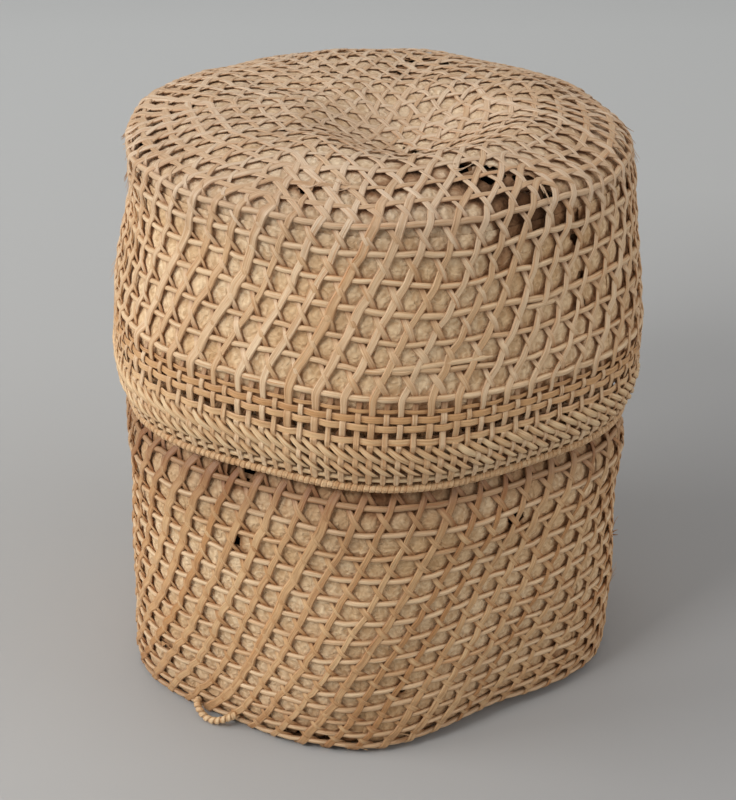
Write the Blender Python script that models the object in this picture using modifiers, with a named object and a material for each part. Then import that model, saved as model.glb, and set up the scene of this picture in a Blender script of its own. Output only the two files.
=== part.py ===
"""Openwork woven basket with a telescoping lid.

The basket and the lid are each woven twice: an outer openwork of stakes and weft hoops, a layer of
leaves, and an inner openwork. The lid slides down over the basket until its crown rests on the
basket's bound mouth, and its middle sags inside that mouth. Metres, +Z up, floor at Z = 0, and
azimuth 0 faces -Y, the side that the front corner is on.
"""

import bisect
import math

import bmesh
import bpy

# Thickness of each layer of a wall, from the outside in, and the gap between two layers
WEFT_THICKNESS = 0.0016
STAKE_THICKNESS = 0.0015
LEAF_THICKNESS = 0.0012
INNER_THICKNESS = 0.0020
LAYER_GAP = 0.0003

# Basket, radii at its corners: the belly's, and how far the foot, the neck and the mouth draw in
BELLY_RADIUS = 0.1395
FOOT_TUCK = 0.0010
NECK_TUCK = 0.0050
MOUTH_TAPER = 0.0110
BASKET_HEIGHT = 0.2968
BELLY_HEIGHT = 0.0550
EDGE_ROUNDING = 0.0080
RAISED_EDGE = 0.0060

# Lid
LID_DEPTH = 0.1530
LID_CLEARANCE = 0.0036
BELT_SWELL = 0.0044
SHOULDER_DROP = 0.0260

# Dish sunk in the crown, off its middle
DISH_DEPTH = 0.0180
DISH_RADIUS = 0.0620
DISH_CENTRE = (0.0180, -0.0220)

# Bound rims: a core hoop in a split sleeve of binding
RIM_CORE_RADIUS = 0.0014
BINDING_THICKNESS = 0.0007
RIM_CLEARANCE = 0.0016

# Weft hoops. The basket's rows open out up to the last row in sight, by the spread
WEFT_WIDTH = 0.0030
FIRST_ROW_HEIGHT = 0.0035
TOP_ROW_DROP = 0.0108
BASKET_ROWS = 23
ROWS_IN_SIGHT = 13
ROW_SPREAD = 0.90
LID_ROWS = 7
LID_ROW_GAP = 0.0029
TOP_LID_ROW_DROP = 0.0178

# Dense belt of the lid, stacked up from the lid's rim
FOOT_WEFT_RISE = 0.0050
BORDER_GAP = 0.0015
BORDER_HEIGHT = 0.0178
BELT_STRIPS = 4
BELT_SLOT = 0.0030
STRIP_WIDTH = 0.0036
STRIP_GAP = 0.0009

# Ridges in rings on the crown and under the floor, where no hoop lies over the crossing strands.
# The crown's stand up from it, and the floor between its ridges is hollowed
RIDGE_PITCH = 0.0145
RIDGE_WIDTH = 0.0036
RIDGE_SIDE = 0.0010
HUB_RADIUS = 0.0060
CROWN_RIDGE_RISE = 0.0014
FLOOR_HOLLOW = 0.0009

# Leaves round each wall, and the seam between two of them
LEAVES = 6
LEAF_SEAM = 0.0006
FLOOR_LEAF_RISE = 0.0030

# Wrapped loop at the foot's left front
LOOP_AZIMUTH = -38.0
LOOP_SPREAD = 5.5
LOOP_RADIUS = 0.0021
LOOP_REACH = 0.0055
LOOP_FLOOR_GAP = 0.0008

# Six corners, as azimuths in degrees, at the foot and from the neck up
FOOT_CORNERS = (-174.0, -117.0, -62.0, -8.0, 74.0, 131.0)
TOP_CORNERS = (-173.0, -113.0, -54.0, 4.0, 68.0, 128.0)
FOOT_FLATNESS = 0.42
NECK_FLATNESS = 0.33
CROWN_FLATNESS = 0.12
RAISED_FACE = 3

# Slope of the rows, down to the right, at the lid's rim and at the middle of the lid
RIM_LEAN = 0.034
LID_LEAN = 0.058

# Sway of the axis to the right, at the foot, at its most in the lid and at the crown
FOOT_SWAY = -0.0025
LID_SWAY = 0.0050
CROWN_SWAY = 0.0010

SIDES = 4 * LEAVES
EDGE_STEPS = 3
WALL_STEP = 0.020
FOOT_RADIUS = BELLY_RADIUS - FOOT_TUCK
NECK_RADIUS = BELLY_RADIUS - NECK_TUCK
MOUTH_RADIUS = NECK_RADIUS - MOUTH_TAPER
WALL_THICKNESS = WEFT_THICKNESS + STAKE_THICKNESS + LEAF_THICKNESS + INNER_THICKNESS + 3 * LAYER_GAP
RIM_RADIUS = RIM_CORE_RADIUS + LAYER_GAP + BINDING_THICKNESS

# Depth of each layer's two faces below the outer surface
STAKE_DEPTHS = (WEFT_THICKNESS + LAYER_GAP, WEFT_THICKNESS + LAYER_GAP + STAKE_THICKNESS)
LEAF_DEPTHS = (STAKE_DEPTHS[1] + LAYER_GAP, STAKE_DEPTHS[1] + LAYER_GAP + LEAF_THICKNESS)
INNER_DEPTHS = (LEAF_DEPTHS[1] + LAYER_GAP, WALL_THICKNESS)


def mix(low, high, share):
    return low + (high - low) * share


def clamp(value):
    return min(1.0, max(0.0, value))


# Profiles are lists of (radius, height). The basket's runs from the axis out and up, and the lid's
# from its rim up and in to the axis.


def offset_profile(profile, depth, inward):
    """The profile moved sideways by depth, with mitred corners. inward is 1 or -1, the side."""
    moved = []
    for index, (radius, height) in enumerate(profile):
        normals = []
        for a, b in ((index - 1, index), (index, index + 1)):
            if a < 0 or b >= len(profile):
                continue
            run, rise = profile[b][0] - profile[a][0], profile[b][1] - profile[a][1]
            length = math.hypot(run, rise)
            normals.append((-rise / length * inward, run / length * inward))
        across = sum(n[0] for n in normals) / len(normals)
        along = sum(n[1] for n in normals) / len(normals)
        size = across * across + along * along
        new_radius = 0.0 if radius == 0.0 else radius + across / size * depth
        moved.append((new_radius, height + along / size * depth))
    return moved


def crossing(a, b, height):
    share = (height - a[1]) / (b[1] - a[1])
    return mix(a[0], b[0], share), height


def divide_profile(profile, longest):
    """The profile with points added, so that no stretch of its wall rises more than longest."""
    divided = [profile[0]]
    for a, b in zip(profile, profile[1:]):
        parts = max(1, math.ceil((b[1] - a[1]) / longest))
        divided += [(mix(a[0], b[0], part / parts), mix(a[1], b[1], part / parts)) for part in range(1, parts + 1)]
    return divided


def cut_profile(profile, height):
    """The profile as two pieces, parted where its wall first rises past height."""
    for index in range(len(profile) - 1):
        a, b = profile[index], profile[index + 1]
        if a[1] < height <= b[1]:
            point = crossing(a, b, height)
            rest = profile[index + 1 :]
            if rest[0][1] == height:
                rest = rest[1:]
            return profile[: index + 1] + [point], [point] + rest
    raise ValueError("the profile doesn't reach this height")


def strip_section(outer, inner, low, high):
    """Closed section between two profiles and two heights."""
    outside = cut_profile(cut_profile(outer, low)[1], high)[0]
    inside = cut_profile(cut_profile(inner, low)[1], high)[0]
    return outside + inside[::-1]


def basket_profile(rim_height):
    """Outer surface of the basket, with its stakes' underside at zero. It narrows just under the
    lid's rim, which clears it there."""
    wall = [
        (FOOT_RADIUS, EDGE_ROUNDING),
        (BELLY_RADIUS, BELLY_HEIGHT),
        (BELLY_RADIUS, rim_height - 5 * RIM_RADIUS),
        (mix(NECK_RADIUS, BELLY_RADIUS, 0.65), rim_height - 3.4 * RIM_RADIUS),
        (NECK_RADIUS, rim_height - 1.5 * RIM_RADIUS),
        (mix(NECK_RADIUS, MOUTH_RADIUS, 0.45), mix(rim_height, BASKET_HEIGHT, 0.45)),
        (MOUTH_RADIUS, BASKET_HEIGHT - 2 * RIM_RADIUS - LAYER_GAP),
    ]
    floor = -STAKE_DEPTHS[0]
    centre = FOOT_RADIUS - EDGE_ROUNDING
    edge = []
    for step in range(EDGE_STEPS):
        turn = math.radians(90) * step / EDGE_STEPS
        rise = (EDGE_ROUNDING - floor) * (1 - math.cos(turn))
        edge.append((centre + EDGE_ROUNDING * math.sin(turn), floor + rise))
    return [(0.0, floor), (centre / 2, floor), *edge, *divide_profile(wall, WALL_STEP)]


def belt_heights(rim_height):
    """Middle of the foot weft, bottom and top of the slanted border, and middle of each strip."""
    foot = rim_height + FOOT_WEFT_RISE
    border_low = foot + WEFT_WIDTH / 2 + BORDER_GAP
    border_high = border_low + BORDER_HEIGHT
    pitch = STRIP_WIDTH + STRIP_GAP
    strips = [border_high + (number + 0.5) * pitch for number in range(BELT_STRIPS)]
    strips = strips[:1] + [height + BELT_SLOT for height in strips[1:]]
    return foot, border_low, border_high, strips


def lid_profile(crown):
    """Outer surface of the lid for a crown of that height: flared belt, wall, shoulder and dish."""
    top = MOUTH_RADIUS + LID_CLEARANCE + WALL_THICKNESS
    edge = lid_rim_centre() + WALL_THICKNESS / 2
    belt = edge + BELT_SWELL
    rim = crown - LID_DEPTH
    low = rim + RIM_RADIUS + LAYER_GAP
    shoulder = crown - SHOULDER_DROP
    foot, border_low, border_high, _ = belt_heights(rim)
    wall = [
        (edge, low),
        (edge, low + RIM_RADIUS),
        (mix(edge, belt, 0.35), foot + WEFT_WIDTH / 2),
        (mix(edge, belt, 0.90), mix(border_low, border_high, 0.35)),
        (belt, border_high),
        (mix(top, belt, 0.92), mix(border_high, shoulder, 0.21)),
        (mix(top, belt, 0.62), mix(border_high, shoulder, 0.41)),
        (mix(top, belt, 0.25), mix(border_high, shoulder, 0.64)),
        (mix(top, belt, 0.06), mix(border_high, shoulder, 0.83)),
        (top, shoulder),
    ]
    rounding = [
        (top * 0.983, crown - 0.62 * SHOULDER_DROP),
        (top * 0.950, crown - 0.46 * SHOULDER_DROP),
        (top * 0.885, crown - 0.33 * SHOULDER_DROP),
        (top * 0.780, crown - 0.17 * SHOULDER_DROP),
        (top * 0.676, crown - 0.03 * SHOULDER_DROP),
    ]
    middle = [(top * share, crown) for share in (0.580, 0.460, 0.340, 0.220, 0.110, 0.0)]
    return wall + rounding + middle


def lid_rim_centre():
    """Radius of the circle that the core hoop of the lid's rim follows."""
    return NECK_RADIUS + RIM_CLEARANCE + RIM_RADIUS


def mouth_centre_radius():
    """Radius of the circle that the mouth's core hoop follows, over the middle of the wall."""
    return MOUTH_RADIUS - WALL_THICKNESS / 2


def distance_to_profile(radius, height, profile):
    """Shortest distance from a point to the profile's stretches."""
    shortest = math.inf
    for a, b in zip(profile, profile[1:]):
        run, rise = b[0] - a[0], b[1] - a[1]
        along = clamp(((radius - a[0]) * run + (height - a[1]) * rise) / (run * run + rise * rise))
        shortest = min(shortest, math.hypot(a[0] + run * along - radius, a[1] + rise * along - height))
    return shortest


def seated_crown():
    """Height of the crown of a lid whose inside rests on the basket's mouth, found by halving."""
    ceiling = offset_profile(lid_profile(0.0), WALL_THICKNESS, 1)
    radius = mouth_centre_radius()
    needed = RIM_RADIUS + LAYER_GAP
    low, high = -LID_DEPTH, 0.0
    for a, b in zip(ceiling, ceiling[1:]):
        if b[0] < radius <= a[0]:
            high = mix(a[1], b[1], (radius - a[0]) / (b[0] - a[0]))
            low = high - SHOULDER_DROP
            break
    for _ in range(40):
        middle = (low + high) / 2
        if distance_to_profile(radius, middle, ceiling) > needed:
            low = middle
        else:
            high = middle
    return BASKET_HEIGHT - RIM_RADIUS - low


# Outline: six soft corners, which turn and sharpen towards the foot


def outline_factor(azimuth, corners, flatness):
    """Share of the corner radius at this azimuth, and which face it lies on, and how near its middle."""
    degrees = (math.degrees(azimuth) + 180.0) % 360.0 - 180.0
    ring = [corners[-1] - 360.0, *corners, corners[0] + 360.0]
    face = bisect.bisect_right(ring, degrees) - 1
    start, end = ring[face], ring[face + 1]
    half_angle = math.radians((end - start) / 2)
    across = (degrees - (start + end) / 2) / ((end - start) / 2)
    middle = (1 + math.cos(math.pi * across)) / 2
    return 1 - flatness * (1 - math.cos(half_angle)) * middle, face - 1, middle


def lean(height, rim_height, crown):
    """Slope of the rows at this height: none at the belly, most in the middle of the lid, none on top."""
    waist = mix(rim_height, crown, 0.60)
    marks = [(BELLY_HEIGHT, 0.0), (rim_height, RIM_LEAN), (waist, LID_LEAN), (crown, 0.0)]
    for (low, low_lean), (high, high_lean) in zip(marks, marks[1:]):
        if low <= height < high:
            return mix(low_lean, high_lean, (height - low) / (high - low))
    return 0.0


def sway(height, rim_height, crown):
    """How far the axis stands to the right at this height."""
    waist = mix(rim_height, crown, 0.68)
    marks = [(0.0, FOOT_SWAY), (rim_height, 0.0), (waist, LID_SWAY), (crown, CROWN_SWAY)]
    for (low, low_sway), (high, high_sway) in zip(marks, marks[1:]):
        if height < high:
            share = clamp((height - low) / (high - low))
            return mix(low_sway, high_sway, share * share * (3 - 2 * share))
    return CROWN_SWAY


def dish_fall(x, y):
    """How far the dish sinks the crown here."""
    apart = min(1.0, math.hypot(x - DISH_CENTRE[0], y - DISH_CENTRE[1]) / DISH_RADIUS)
    return DISH_DEPTH * (1 - apart * apart) ** 2


def settle_basket(point, rim_height, crown):
    """Takes a point of a round basket to the six-cornered one with its raised front right edge."""
    x, y, z = point
    azimuth, radius = math.atan2(x, -y), math.hypot(x, y)
    share = clamp(z / rim_height)
    corners = [mix(a, b, share) for a, b in zip(FOOT_CORNERS, TOP_CORNERS)]
    flatness = mix(FOOT_FLATNESS, NECK_FLATNESS, share)
    factor, face, middle = outline_factor(azimuth, corners, flatness)
    lift = -x * factor * lean(z, rim_height, crown)
    if face == RAISED_FACE:
        outward = clamp((radius - FOOT_RADIUS / 2) / (FOOT_RADIUS / 2 - EDGE_ROUNDING))
        lift += RAISED_EDGE * middle * outward * clamp(1 - z / BELLY_HEIGHT)
    return (x * factor + sway(z, rim_height, crown), y * factor, z + lift)


def settle_lid(point, rim_height, crown):
    """Takes a point of a round lid to the soft hexagon, which fades towards the crown."""
    x, y, z = point
    azimuth = math.atan2(x, -y)
    share = clamp((z - rim_height) / (crown - SHOULDER_DROP - rim_height))
    factor, _, _ = outline_factor(azimuth, TOP_CORNERS, mix(NECK_FLATNESS, CROWN_FLATNESS, share))
    height = max(z, rim_height)
    fall = x * factor * lean(height, rim_height, crown) + dish_fall(x, y)
    return (x * factor + sway(height, rim_height, crown), y * factor, z - fall)


# Building


def clear_scene():
    for item in list(bpy.data.objects):
        bpy.data.objects.remove(item, do_unlink=True)


def make_material(name, colour, roughness):
    material = bpy.data.materials.new(name)
    material.use_nodes = True
    shader = material.node_tree.nodes["Principled BSDF"]
    shader.inputs["Base Color"].default_value = (*colour, 1.0)
    shader.inputs["Roughness"].default_value = roughness
    shader.inputs["Metallic"].default_value = 0.0
    return material


def turned_mesh(name, section, closed, span=360.0, start=0.0):
    """Mesh of a section turned about Z with a Screw modifier, from azimuth start through span."""
    steps = round(SIDES * span / 360.0) if span < 359.0 else SIDES
    profile = bpy.data.meshes.new(name + "_profile")
    count = len(section)
    edges = [(i, i + 1) for i in range(count - 1)]
    if closed:
        edges.append((count - 1, 0))
    turn = math.radians(start)
    points = [(r * math.sin(turn), -r * math.cos(turn), z) for r, z in section]
    profile.from_pydata(points, edges, [])
    helper = bpy.data.objects.new(name + "_profile", profile)
    bpy.context.scene.collection.objects.link(helper)
    screw = helper.modifiers.new("turn", "SCREW")
    screw.angle = math.radians(span)
    screw.steps = steps
    screw.render_steps = steps
    screw.use_merge_vertices = True
    screw.merge_threshold = 0.00005
    graph = bpy.context.evaluated_depsgraph_get()
    mesh = bpy.data.meshes.new_from_object(helper.evaluated_get(graph))
    bpy.data.objects.remove(helper, do_unlink=True)
    return mesh


def finish_object(name, mesh, material, settle, collection, parent):
    """Closes and settles the mesh, and makes it a named object under its body's empty."""
    work = bmesh.new()
    work.from_mesh(mesh)
    bmesh.ops.remove_doubles(work, verts=work.verts, dist=0.00002)
    open_edges = [edge for edge in work.edges if edge.is_boundary]
    if open_edges:
        bmesh.ops.holes_fill(work, edges=open_edges)
    for vert in work.verts:
        vert.co = settle(vert.co)
    bmesh.ops.triangulate(work, faces=work.faces)
    bmesh.ops.recalc_face_normals(work, faces=work.faces)
    work.to_mesh(mesh)
    work.free()
    mesh.name = name
    mesh.materials.clear()
    mesh.materials.append(material)
    mesh.shade_smooth()
    mesh.set_sharp_from_angle(angle=math.radians(35))
    item = bpy.data.objects.new(name, mesh)
    collection.objects.link(item)
    item.parent = parent
    return item


class Body:
    """One body of the object: the function that settles its shape, its collection and its empty."""

    def __init__(self, name, collection, settle):
        self.collection = collection
        self.settle = settle
        self.empty = bpy.data.objects.new(name, None)
        collection.objects.link(self.empty)

    def add(self, name, section, material, closed=True, span=360.0, start=0.0):
        mesh = turned_mesh(name, section, closed, span, start)
        return finish_object(name, mesh, material, self.settle, self.collection, self.empty)


def layer_section(profile, depths, inward):
    """Open section of a layer that ends on the axis: out along one face and back along the other."""
    outer = offset_profile(profile, depths[0], inward)
    inner = offset_profile(profile, depths[1], inward)
    return outer + inner[::-1] if outer[0][0] == 0.0 else outer[::-1] + inner


def ridged(path, limit, web, top):
    """The path with a hub and rings of ridges out to the limit, whose tops, and the webs between
    them, lie this far above it."""
    axis_first = path[0][0] == 0.0
    line = path if axis_first else path[::-1]
    half, base = RIDGE_WIDTH / 2, RIDGE_WIDTH / 2 + RIDGE_SIDE
    steps = [(0.0, top), (HUB_RADIUS, top), (HUB_RADIUS + RIDGE_SIDE, web)]
    for number in range(1, int((limit - base) / RIDGE_PITCH) + 1):
        middle = number * RIDGE_PITCH
        steps += [(middle - base, web), (middle - half, top), (middle + half, top), (middle + base, web)]
    made = []
    for radius, rise in steps:
        a, b = next(pair for pair in zip(line, line[1:]) if pair[0][0] <= radius <= pair[1][0])
        made.append((radius, mix(a[1], b[1], (radius - a[0]) / (b[0] - a[0])) + rise))
    made += [point for point in line if point[0] > steps[-1][0]]
    return made if axis_first else made[::-1]


def add_bound_rim(body, name, radius, height, core_material, binding_material):
    """A core hoop, and the binding round it as a sleeve that is split along its inner side."""
    corners = 5
    core = []
    outside, inside = [], []
    for corner in range(corners):
        turn = 2 * math.pi * corner / corners
        core.append((radius + RIM_CORE_RADIUS * math.cos(turn), height + RIM_CORE_RADIUS * math.sin(turn)))
    split = math.radians(20)
    for corner in range(corners + 1):
        turn = mix(math.pi + split, 3 * math.pi - split, corner / corners)
        across, up = math.cos(turn), math.sin(turn)
        sleeve = RIM_CORE_RADIUS / math.cos(math.pi / corners) + LAYER_GAP
        outside.append((radius + RIM_RADIUS * across, height + RIM_RADIUS * up))
        inside.append((radius + sleeve * across, height + sleeve * up))
    body.add(name + "_core", core, core_material)
    body.add(name + "_binding", outside + inside[::-1], binding_material)


def add_wefts(body, prefix, heights, width, outer, inner, material):
    for number, height in enumerate(heights, 1):
        section = strip_section(outer, inner, height - width / 2, height + width / 2)
        body.add(f"{prefix}_{number:02d}", section, material)


def add_leaves(body, prefix, outer, inner, low, high, material):
    """The wall's leaves, side by side, with a seam between each two."""
    section = strip_section(outer, inner, low, high)
    seam = math.degrees(LEAF_SEAM / outer[len(outer) // 2][0])
    for number in range(LEAVES):
        start = number * 360.0 / LEAVES + seam / 2
        body.add(f"{prefix}_{number + 1}", section, material, span=360.0 / LEAVES - seam, start=start)


def basket_row_heights():
    """Heights of the basket's weft hoops, whose spacing opens out up to the last row in sight."""
    spacings = [1 + ROW_SPREAD * min(row / ROWS_IN_SIGHT, 1) for row in range(BASKET_ROWS - 1)]
    span = BASKET_HEIGHT - TOP_ROW_DROP - FIRST_ROW_HEIGHT
    return [FIRST_ROW_HEIGHT + span * sum(spacings[:row]) / sum(spacings) for row in range(BASKET_ROWS)]


def even_heights(low, high, count):
    return [mix(low, high, number / (count - 1)) for number in range(count)]


def add_loop(body, outer, material):
    """Wrapped cord loop: out of the foot between its first two hoops, down beside it and in again."""
    seat_height = sum(basket_row_heights()[:2]) / 2
    drop = seat_height - LOOP_RADIUS - LOOP_FLOOR_GAP
    seat_top = seat_height + LOOP_RADIUS
    seat, _ = crossing(*bracketing(outer, seat_top), seat_top)
    start = seat - STAKE_DEPTHS[0] + LAYER_GAP
    route = []
    for step in range(13):
        share = step / 12
        out = math.sin(math.pi * share)
        azimuth = math.radians(LOOP_AZIMUTH - LOOP_SPREAD * math.cos(math.pi * share))
        radius = start + (LOOP_REACH + WEFT_THICKNESS) * out
        height = seat_height - drop * out**3
        route.append((radius * math.sin(azimuth), -radius * math.cos(azimuth), height))
    curve = bpy.data.curves.new("base_cord_loop", "CURVE")
    curve.dimensions = "3D"
    curve.bevel_depth = LOOP_RADIUS
    curve.bevel_resolution = 2
    curve.use_fill_caps = True
    spline = curve.splines.new("POLY")
    spline.points.add(len(route) - 1)
    for point, place in zip(spline.points, route):
        point.co = (*body.settle(place), 1.0)
    curve.materials.append(material)
    item = bpy.data.objects.new("base_cord_loop", curve)
    body.collection.objects.link(item)
    item.parent = body.empty


def bracketing(profile, height):
    """The two neighbouring points of the profile that this height lies between."""
    for a, b in zip(profile, profile[1:]):
        if a[1] < height <= b[1]:
            return a, b
    raise ValueError("the profile doesn't reach this height")


def build_basket(collection, rim_height, crown, materials):
    def settle(point):
        return settle_basket(point, rim_height, crown)

    body = Body("basket", collection, settle)
    profile = basket_profile(rim_height)
    weft_inner = offset_profile(profile, WEFT_THICKNESS, 1)
    leaf_outer = offset_profile(profile, LEAF_DEPTHS[0], 1)
    leaf_inner = offset_profile(profile, LEAF_DEPTHS[1], 1)
    under = ridged(offset_profile(profile, STAKE_DEPTHS[0], 1), FOOT_RADIUS - EDGE_ROUNDING, FLOOR_HOLLOW, 0.0)
    stakes = under + offset_profile(profile, STAKE_DEPTHS[1], 1)[::-1]
    body.add("basket_outer_stakes", stakes, materials["stake"], closed=False)
    body.add("basket_inner_weave", layer_section(profile, INNER_DEPTHS, 1), materials["inner"], closed=False)
    floor_leaf_top = EDGE_ROUNDING + FLOOR_LEAF_RISE
    floor_outer, _ = cut_profile(leaf_outer, floor_leaf_top)
    floor_inner, _ = cut_profile(leaf_inner, floor_leaf_top)
    body.add("basket_floor_leaf", floor_outer + floor_inner[::-1], materials["leaf"], closed=False)
    leaf_top = min(leaf_outer[-1][1], leaf_inner[-1][1])
    leaf_low = floor_leaf_top + LAYER_GAP
    add_leaves(body, "basket_wall_leaf", leaf_outer, leaf_inner, leaf_low, leaf_top, materials["leaf"])
    rows = basket_row_heights()
    add_wefts(body, "basket_weft", rows, WEFT_WIDTH, profile, weft_inner, materials["weft"])
    mouth_height = BASKET_HEIGHT - RIM_RADIUS
    add_bound_rim(
        body, "basket_mouth", mouth_centre_radius(), mouth_height, materials["weft"], materials["binding"]
    )
    add_loop(body, profile, materials["binding"])


def build_lid(collection, rim_height, crown, materials):
    def settle(point):
        return settle_lid(point, rim_height, crown)

    body = Body("lid", collection, settle)
    profile = lid_profile(crown)
    weft_inner = offset_profile(profile, WEFT_THICKNESS, 1)
    leaf_outer = offset_profile(profile, LEAF_DEPTHS[0], 1)
    leaf_inner = offset_profile(profile, LEAF_DEPTHS[1], 1)
    over = ridged(offset_profile(profile, STAKE_DEPTHS[0], 1), MOUTH_RADIUS, 0.0, CROWN_RIDGE_RISE)
    stakes = over[::-1] + offset_profile(profile, STAKE_DEPTHS[1], 1)
    body.add("lid_outer_stakes", stakes, materials["stake"], closed=False)
    body.add("lid_inner_weave", layer_section(profile, INNER_DEPTHS, 1), materials["inner"], closed=False)
    leaf_top = crown - SHOULDER_DROP
    _, crown_outer = cut_profile(leaf_outer, leaf_top + LAYER_GAP)
    _, crown_inner = cut_profile(leaf_inner, leaf_top + LAYER_GAP)
    body.add("lid_crown_leaf", crown_outer[::-1] + crown_inner, materials["leaf"], closed=False)
    leaf_low = max(leaf_outer[0][1], leaf_inner[0][1]) + LAYER_GAP
    add_leaves(body, "lid_wall_leaf", leaf_outer, leaf_inner, leaf_low, leaf_top, materials["leaf"])
    foot, border_low, border_high, strips = belt_heights(rim_height)
    add_wefts(body, "lid_foot_weft", [foot], WEFT_WIDTH, profile, weft_inner, materials["weft"])
    border = strip_section(profile, weft_inner, border_low, border_high)
    body.add("lid_slanted_border", border, materials["stake"])
    add_wefts(body, "lid_belt_strip", strips, STRIP_WIDTH, profile, weft_inner, materials["strip"])
    first_row = strips[-1] + STRIP_WIDTH / 2 + LID_ROW_GAP + WEFT_WIDTH / 2
    rows = even_heights(first_row, crown - TOP_LID_ROW_DROP, LID_ROWS)
    add_wefts(body, "lid_weft", rows, WEFT_WIDTH, profile, weft_inner, materials["weft"])
    add_bound_rim(body, "lid_rim", lid_rim_centre(), rim_height, materials["weft"], materials["binding"])


def main():
    clear_scene()
    collection = bpy.data.collections.new("openwork_basket")
    bpy.context.scene.collection.children.link(collection)
    materials = {
        "stake": make_material("stake_cane", (0.50, 0.33, 0.18), 0.55),
        "weft": make_material("weft_rod", (0.56, 0.38, 0.22), 0.50),
        "strip": make_material("belt_strip", (0.52, 0.31, 0.14), 0.40),
        "inner": make_material("inner_cane", (0.44, 0.29, 0.16), 0.65),
        "leaf": make_material("lining_leaf", (0.62, 0.50, 0.34), 0.80),
        "binding": make_material("rim_binding", (0.55, 0.36, 0.19), 0.45),
    }
    crown = seated_crown()
    rim_height = crown - LID_DEPTH
    build_basket(collection, rim_height, crown, materials)
    build_lid(collection, rim_height, crown, materials)


main()
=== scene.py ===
"""Looks of the openwork basket and its lid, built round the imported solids.

Every strand is traced through one net of triangles for each body, which has a hexagon of rings at
its closed end and rows of half-shifted cells up its wall. A strand runs from edge to edge of that net
and goes over and under in turn, so the weave is whole from the middle of the crown to the rim.
"""

import math
from collections import namedtuple

import bmesh
import bpy
import numpy as np
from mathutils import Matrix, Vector
from mathutils.kdtree import KDTree


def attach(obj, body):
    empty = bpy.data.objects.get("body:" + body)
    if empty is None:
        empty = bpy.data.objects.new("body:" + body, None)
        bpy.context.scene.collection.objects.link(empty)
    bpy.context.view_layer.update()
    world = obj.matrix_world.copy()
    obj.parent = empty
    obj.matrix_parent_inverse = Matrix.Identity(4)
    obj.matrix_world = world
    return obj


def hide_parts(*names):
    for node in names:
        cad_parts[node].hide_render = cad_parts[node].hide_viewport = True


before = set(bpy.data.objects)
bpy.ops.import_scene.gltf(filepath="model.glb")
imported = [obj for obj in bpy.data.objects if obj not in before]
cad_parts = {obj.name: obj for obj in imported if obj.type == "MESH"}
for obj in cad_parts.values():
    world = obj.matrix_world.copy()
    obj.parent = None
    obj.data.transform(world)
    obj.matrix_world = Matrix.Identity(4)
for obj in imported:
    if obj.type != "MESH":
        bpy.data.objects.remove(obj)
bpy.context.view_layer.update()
chance = np.random.default_rng(2707)

# Outer surfaces of the two solids, from the axis out, before their outline, lean, sway and dish
BASKET_PROFILE = [
    (0.0, -0.0019), (0.0652, -0.0019), (0.1305, -0.0019), (0.1345, -0.0006), (0.1374, 0.0031),
    (0.1385, 0.0080), (0.1390, 0.0315), (0.1395, 0.0550), (0.1395, 0.1020), (0.1395, 0.1490),
    (0.1377, 0.1528), (0.1345, 0.1574), (0.1295, 0.2221), (0.1235, 0.2917),
]
LID_PROFILE = [
    (0.0, 0.3140), (0.0310, 0.3140), (0.0618, 0.3140), (0.0779, 0.3140), (0.0908, 0.3132),
    (0.1047, 0.3096), (0.1189, 0.3054), (0.1276, 0.3020), (0.1320, 0.2979), (0.1343, 0.2880),
    (0.1350, 0.2708), (0.1374, 0.2516), (0.1419, 0.2283), (0.1455, 0.2080), (0.1465, 0.1868),
    (0.1461, 0.1752), (0.1436, 0.1675), (0.1421, 0.1661), (0.1421, 0.1637), (0.1412, 0.1610),
]
RIM_HEIGHT = 0.1610
RIM_CENTRE_RADIUS = 0.1385
CROWN_HEIGHT = 0.3140
SHOULDER_HEIGHT = 0.2880
MOUTH_HEIGHT = 0.2944
MOUTH_CENTRE_RADIUS = 0.1199
BELLY_HEIGHT = 0.0550
FOOT_RADIUS = 0.1385
EDGE_ROUNDING = 0.0080
RAISED_EDGE = 0.0060
RAISED_FACE = 3
DISH_DEPTH, DISH_RADIUS, DISH_CENTRE = 0.0180, 0.0620, (0.0180, -0.0220)
FOOT_CORNERS = np.array((-174.0, -117.0, -62.0, -8.0, 74.0, 131.0))
TOP_CORNERS = np.array((-173.0, -113.0, -54.0, 4.0, 68.0, 128.0))
FOOT_FLATNESS, NECK_FLATNESS, CROWN_FLATNESS = 0.42, 0.33, 0.12
LEAN_MARKS = ((BELLY_HEIGHT, RIM_HEIGHT, 0.2528, CROWN_HEIGHT), (0.0, 0.034, 0.058, 0.0))
SWAY_MARKS = (np.array((0.0, RIM_HEIGHT, 0.2650, CROWN_HEIGHT)), np.array((-0.0025, 0.0, 0.0050, 0.0010)))

# Rows of hoops, at the heights of the solids' hoops
LID_ROWS, FIRST_LID_ROW, TOP_LID_ROW = 7, 0.2118, 0.2962
BASKET_ROWS, FIRST_BASKET_ROW, TOP_BASKET_ROW = 23, 0.0035, 0.2860
ROWS_IN_SIGHT, ROW_SPREAD = 13, 0.90
BELT_STRIPS = [0.2056, 0.2011, 0.1966, 0.1891]
FOOT_ROD_HEIGHT = 0.1660
LID_CELLS_PER_FACE, BASKET_CELLS_PER_FACE, INNER_CELLS_PER_FACE = 11, 10, 9

# Azimuths of the six corners of each net, which are a little wider apart in front
LID_NET = (-175.0, -118.0, -57.0, 5.0, 70.0, 128.0)
BASKET_NET = (-176.5, -121.0, -56.0, 5.0, 72.5, 128.0)

# Depths of the layers' middles below the outer surface
WEAVE_DEPTH = 0.0019
FLOOR_WEAVE_DEPTH = 0.0029
LEAF_DEPTH = 0.0039
INNER_DEPTH = 0.0062
LOWEST_POINT = 0.0002

# How far the lining swells out through each cell, and how wide the swelling is for one cell a face
SWELLING, SWELLING_RADIUS = 0.0010, 0.0750

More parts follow.
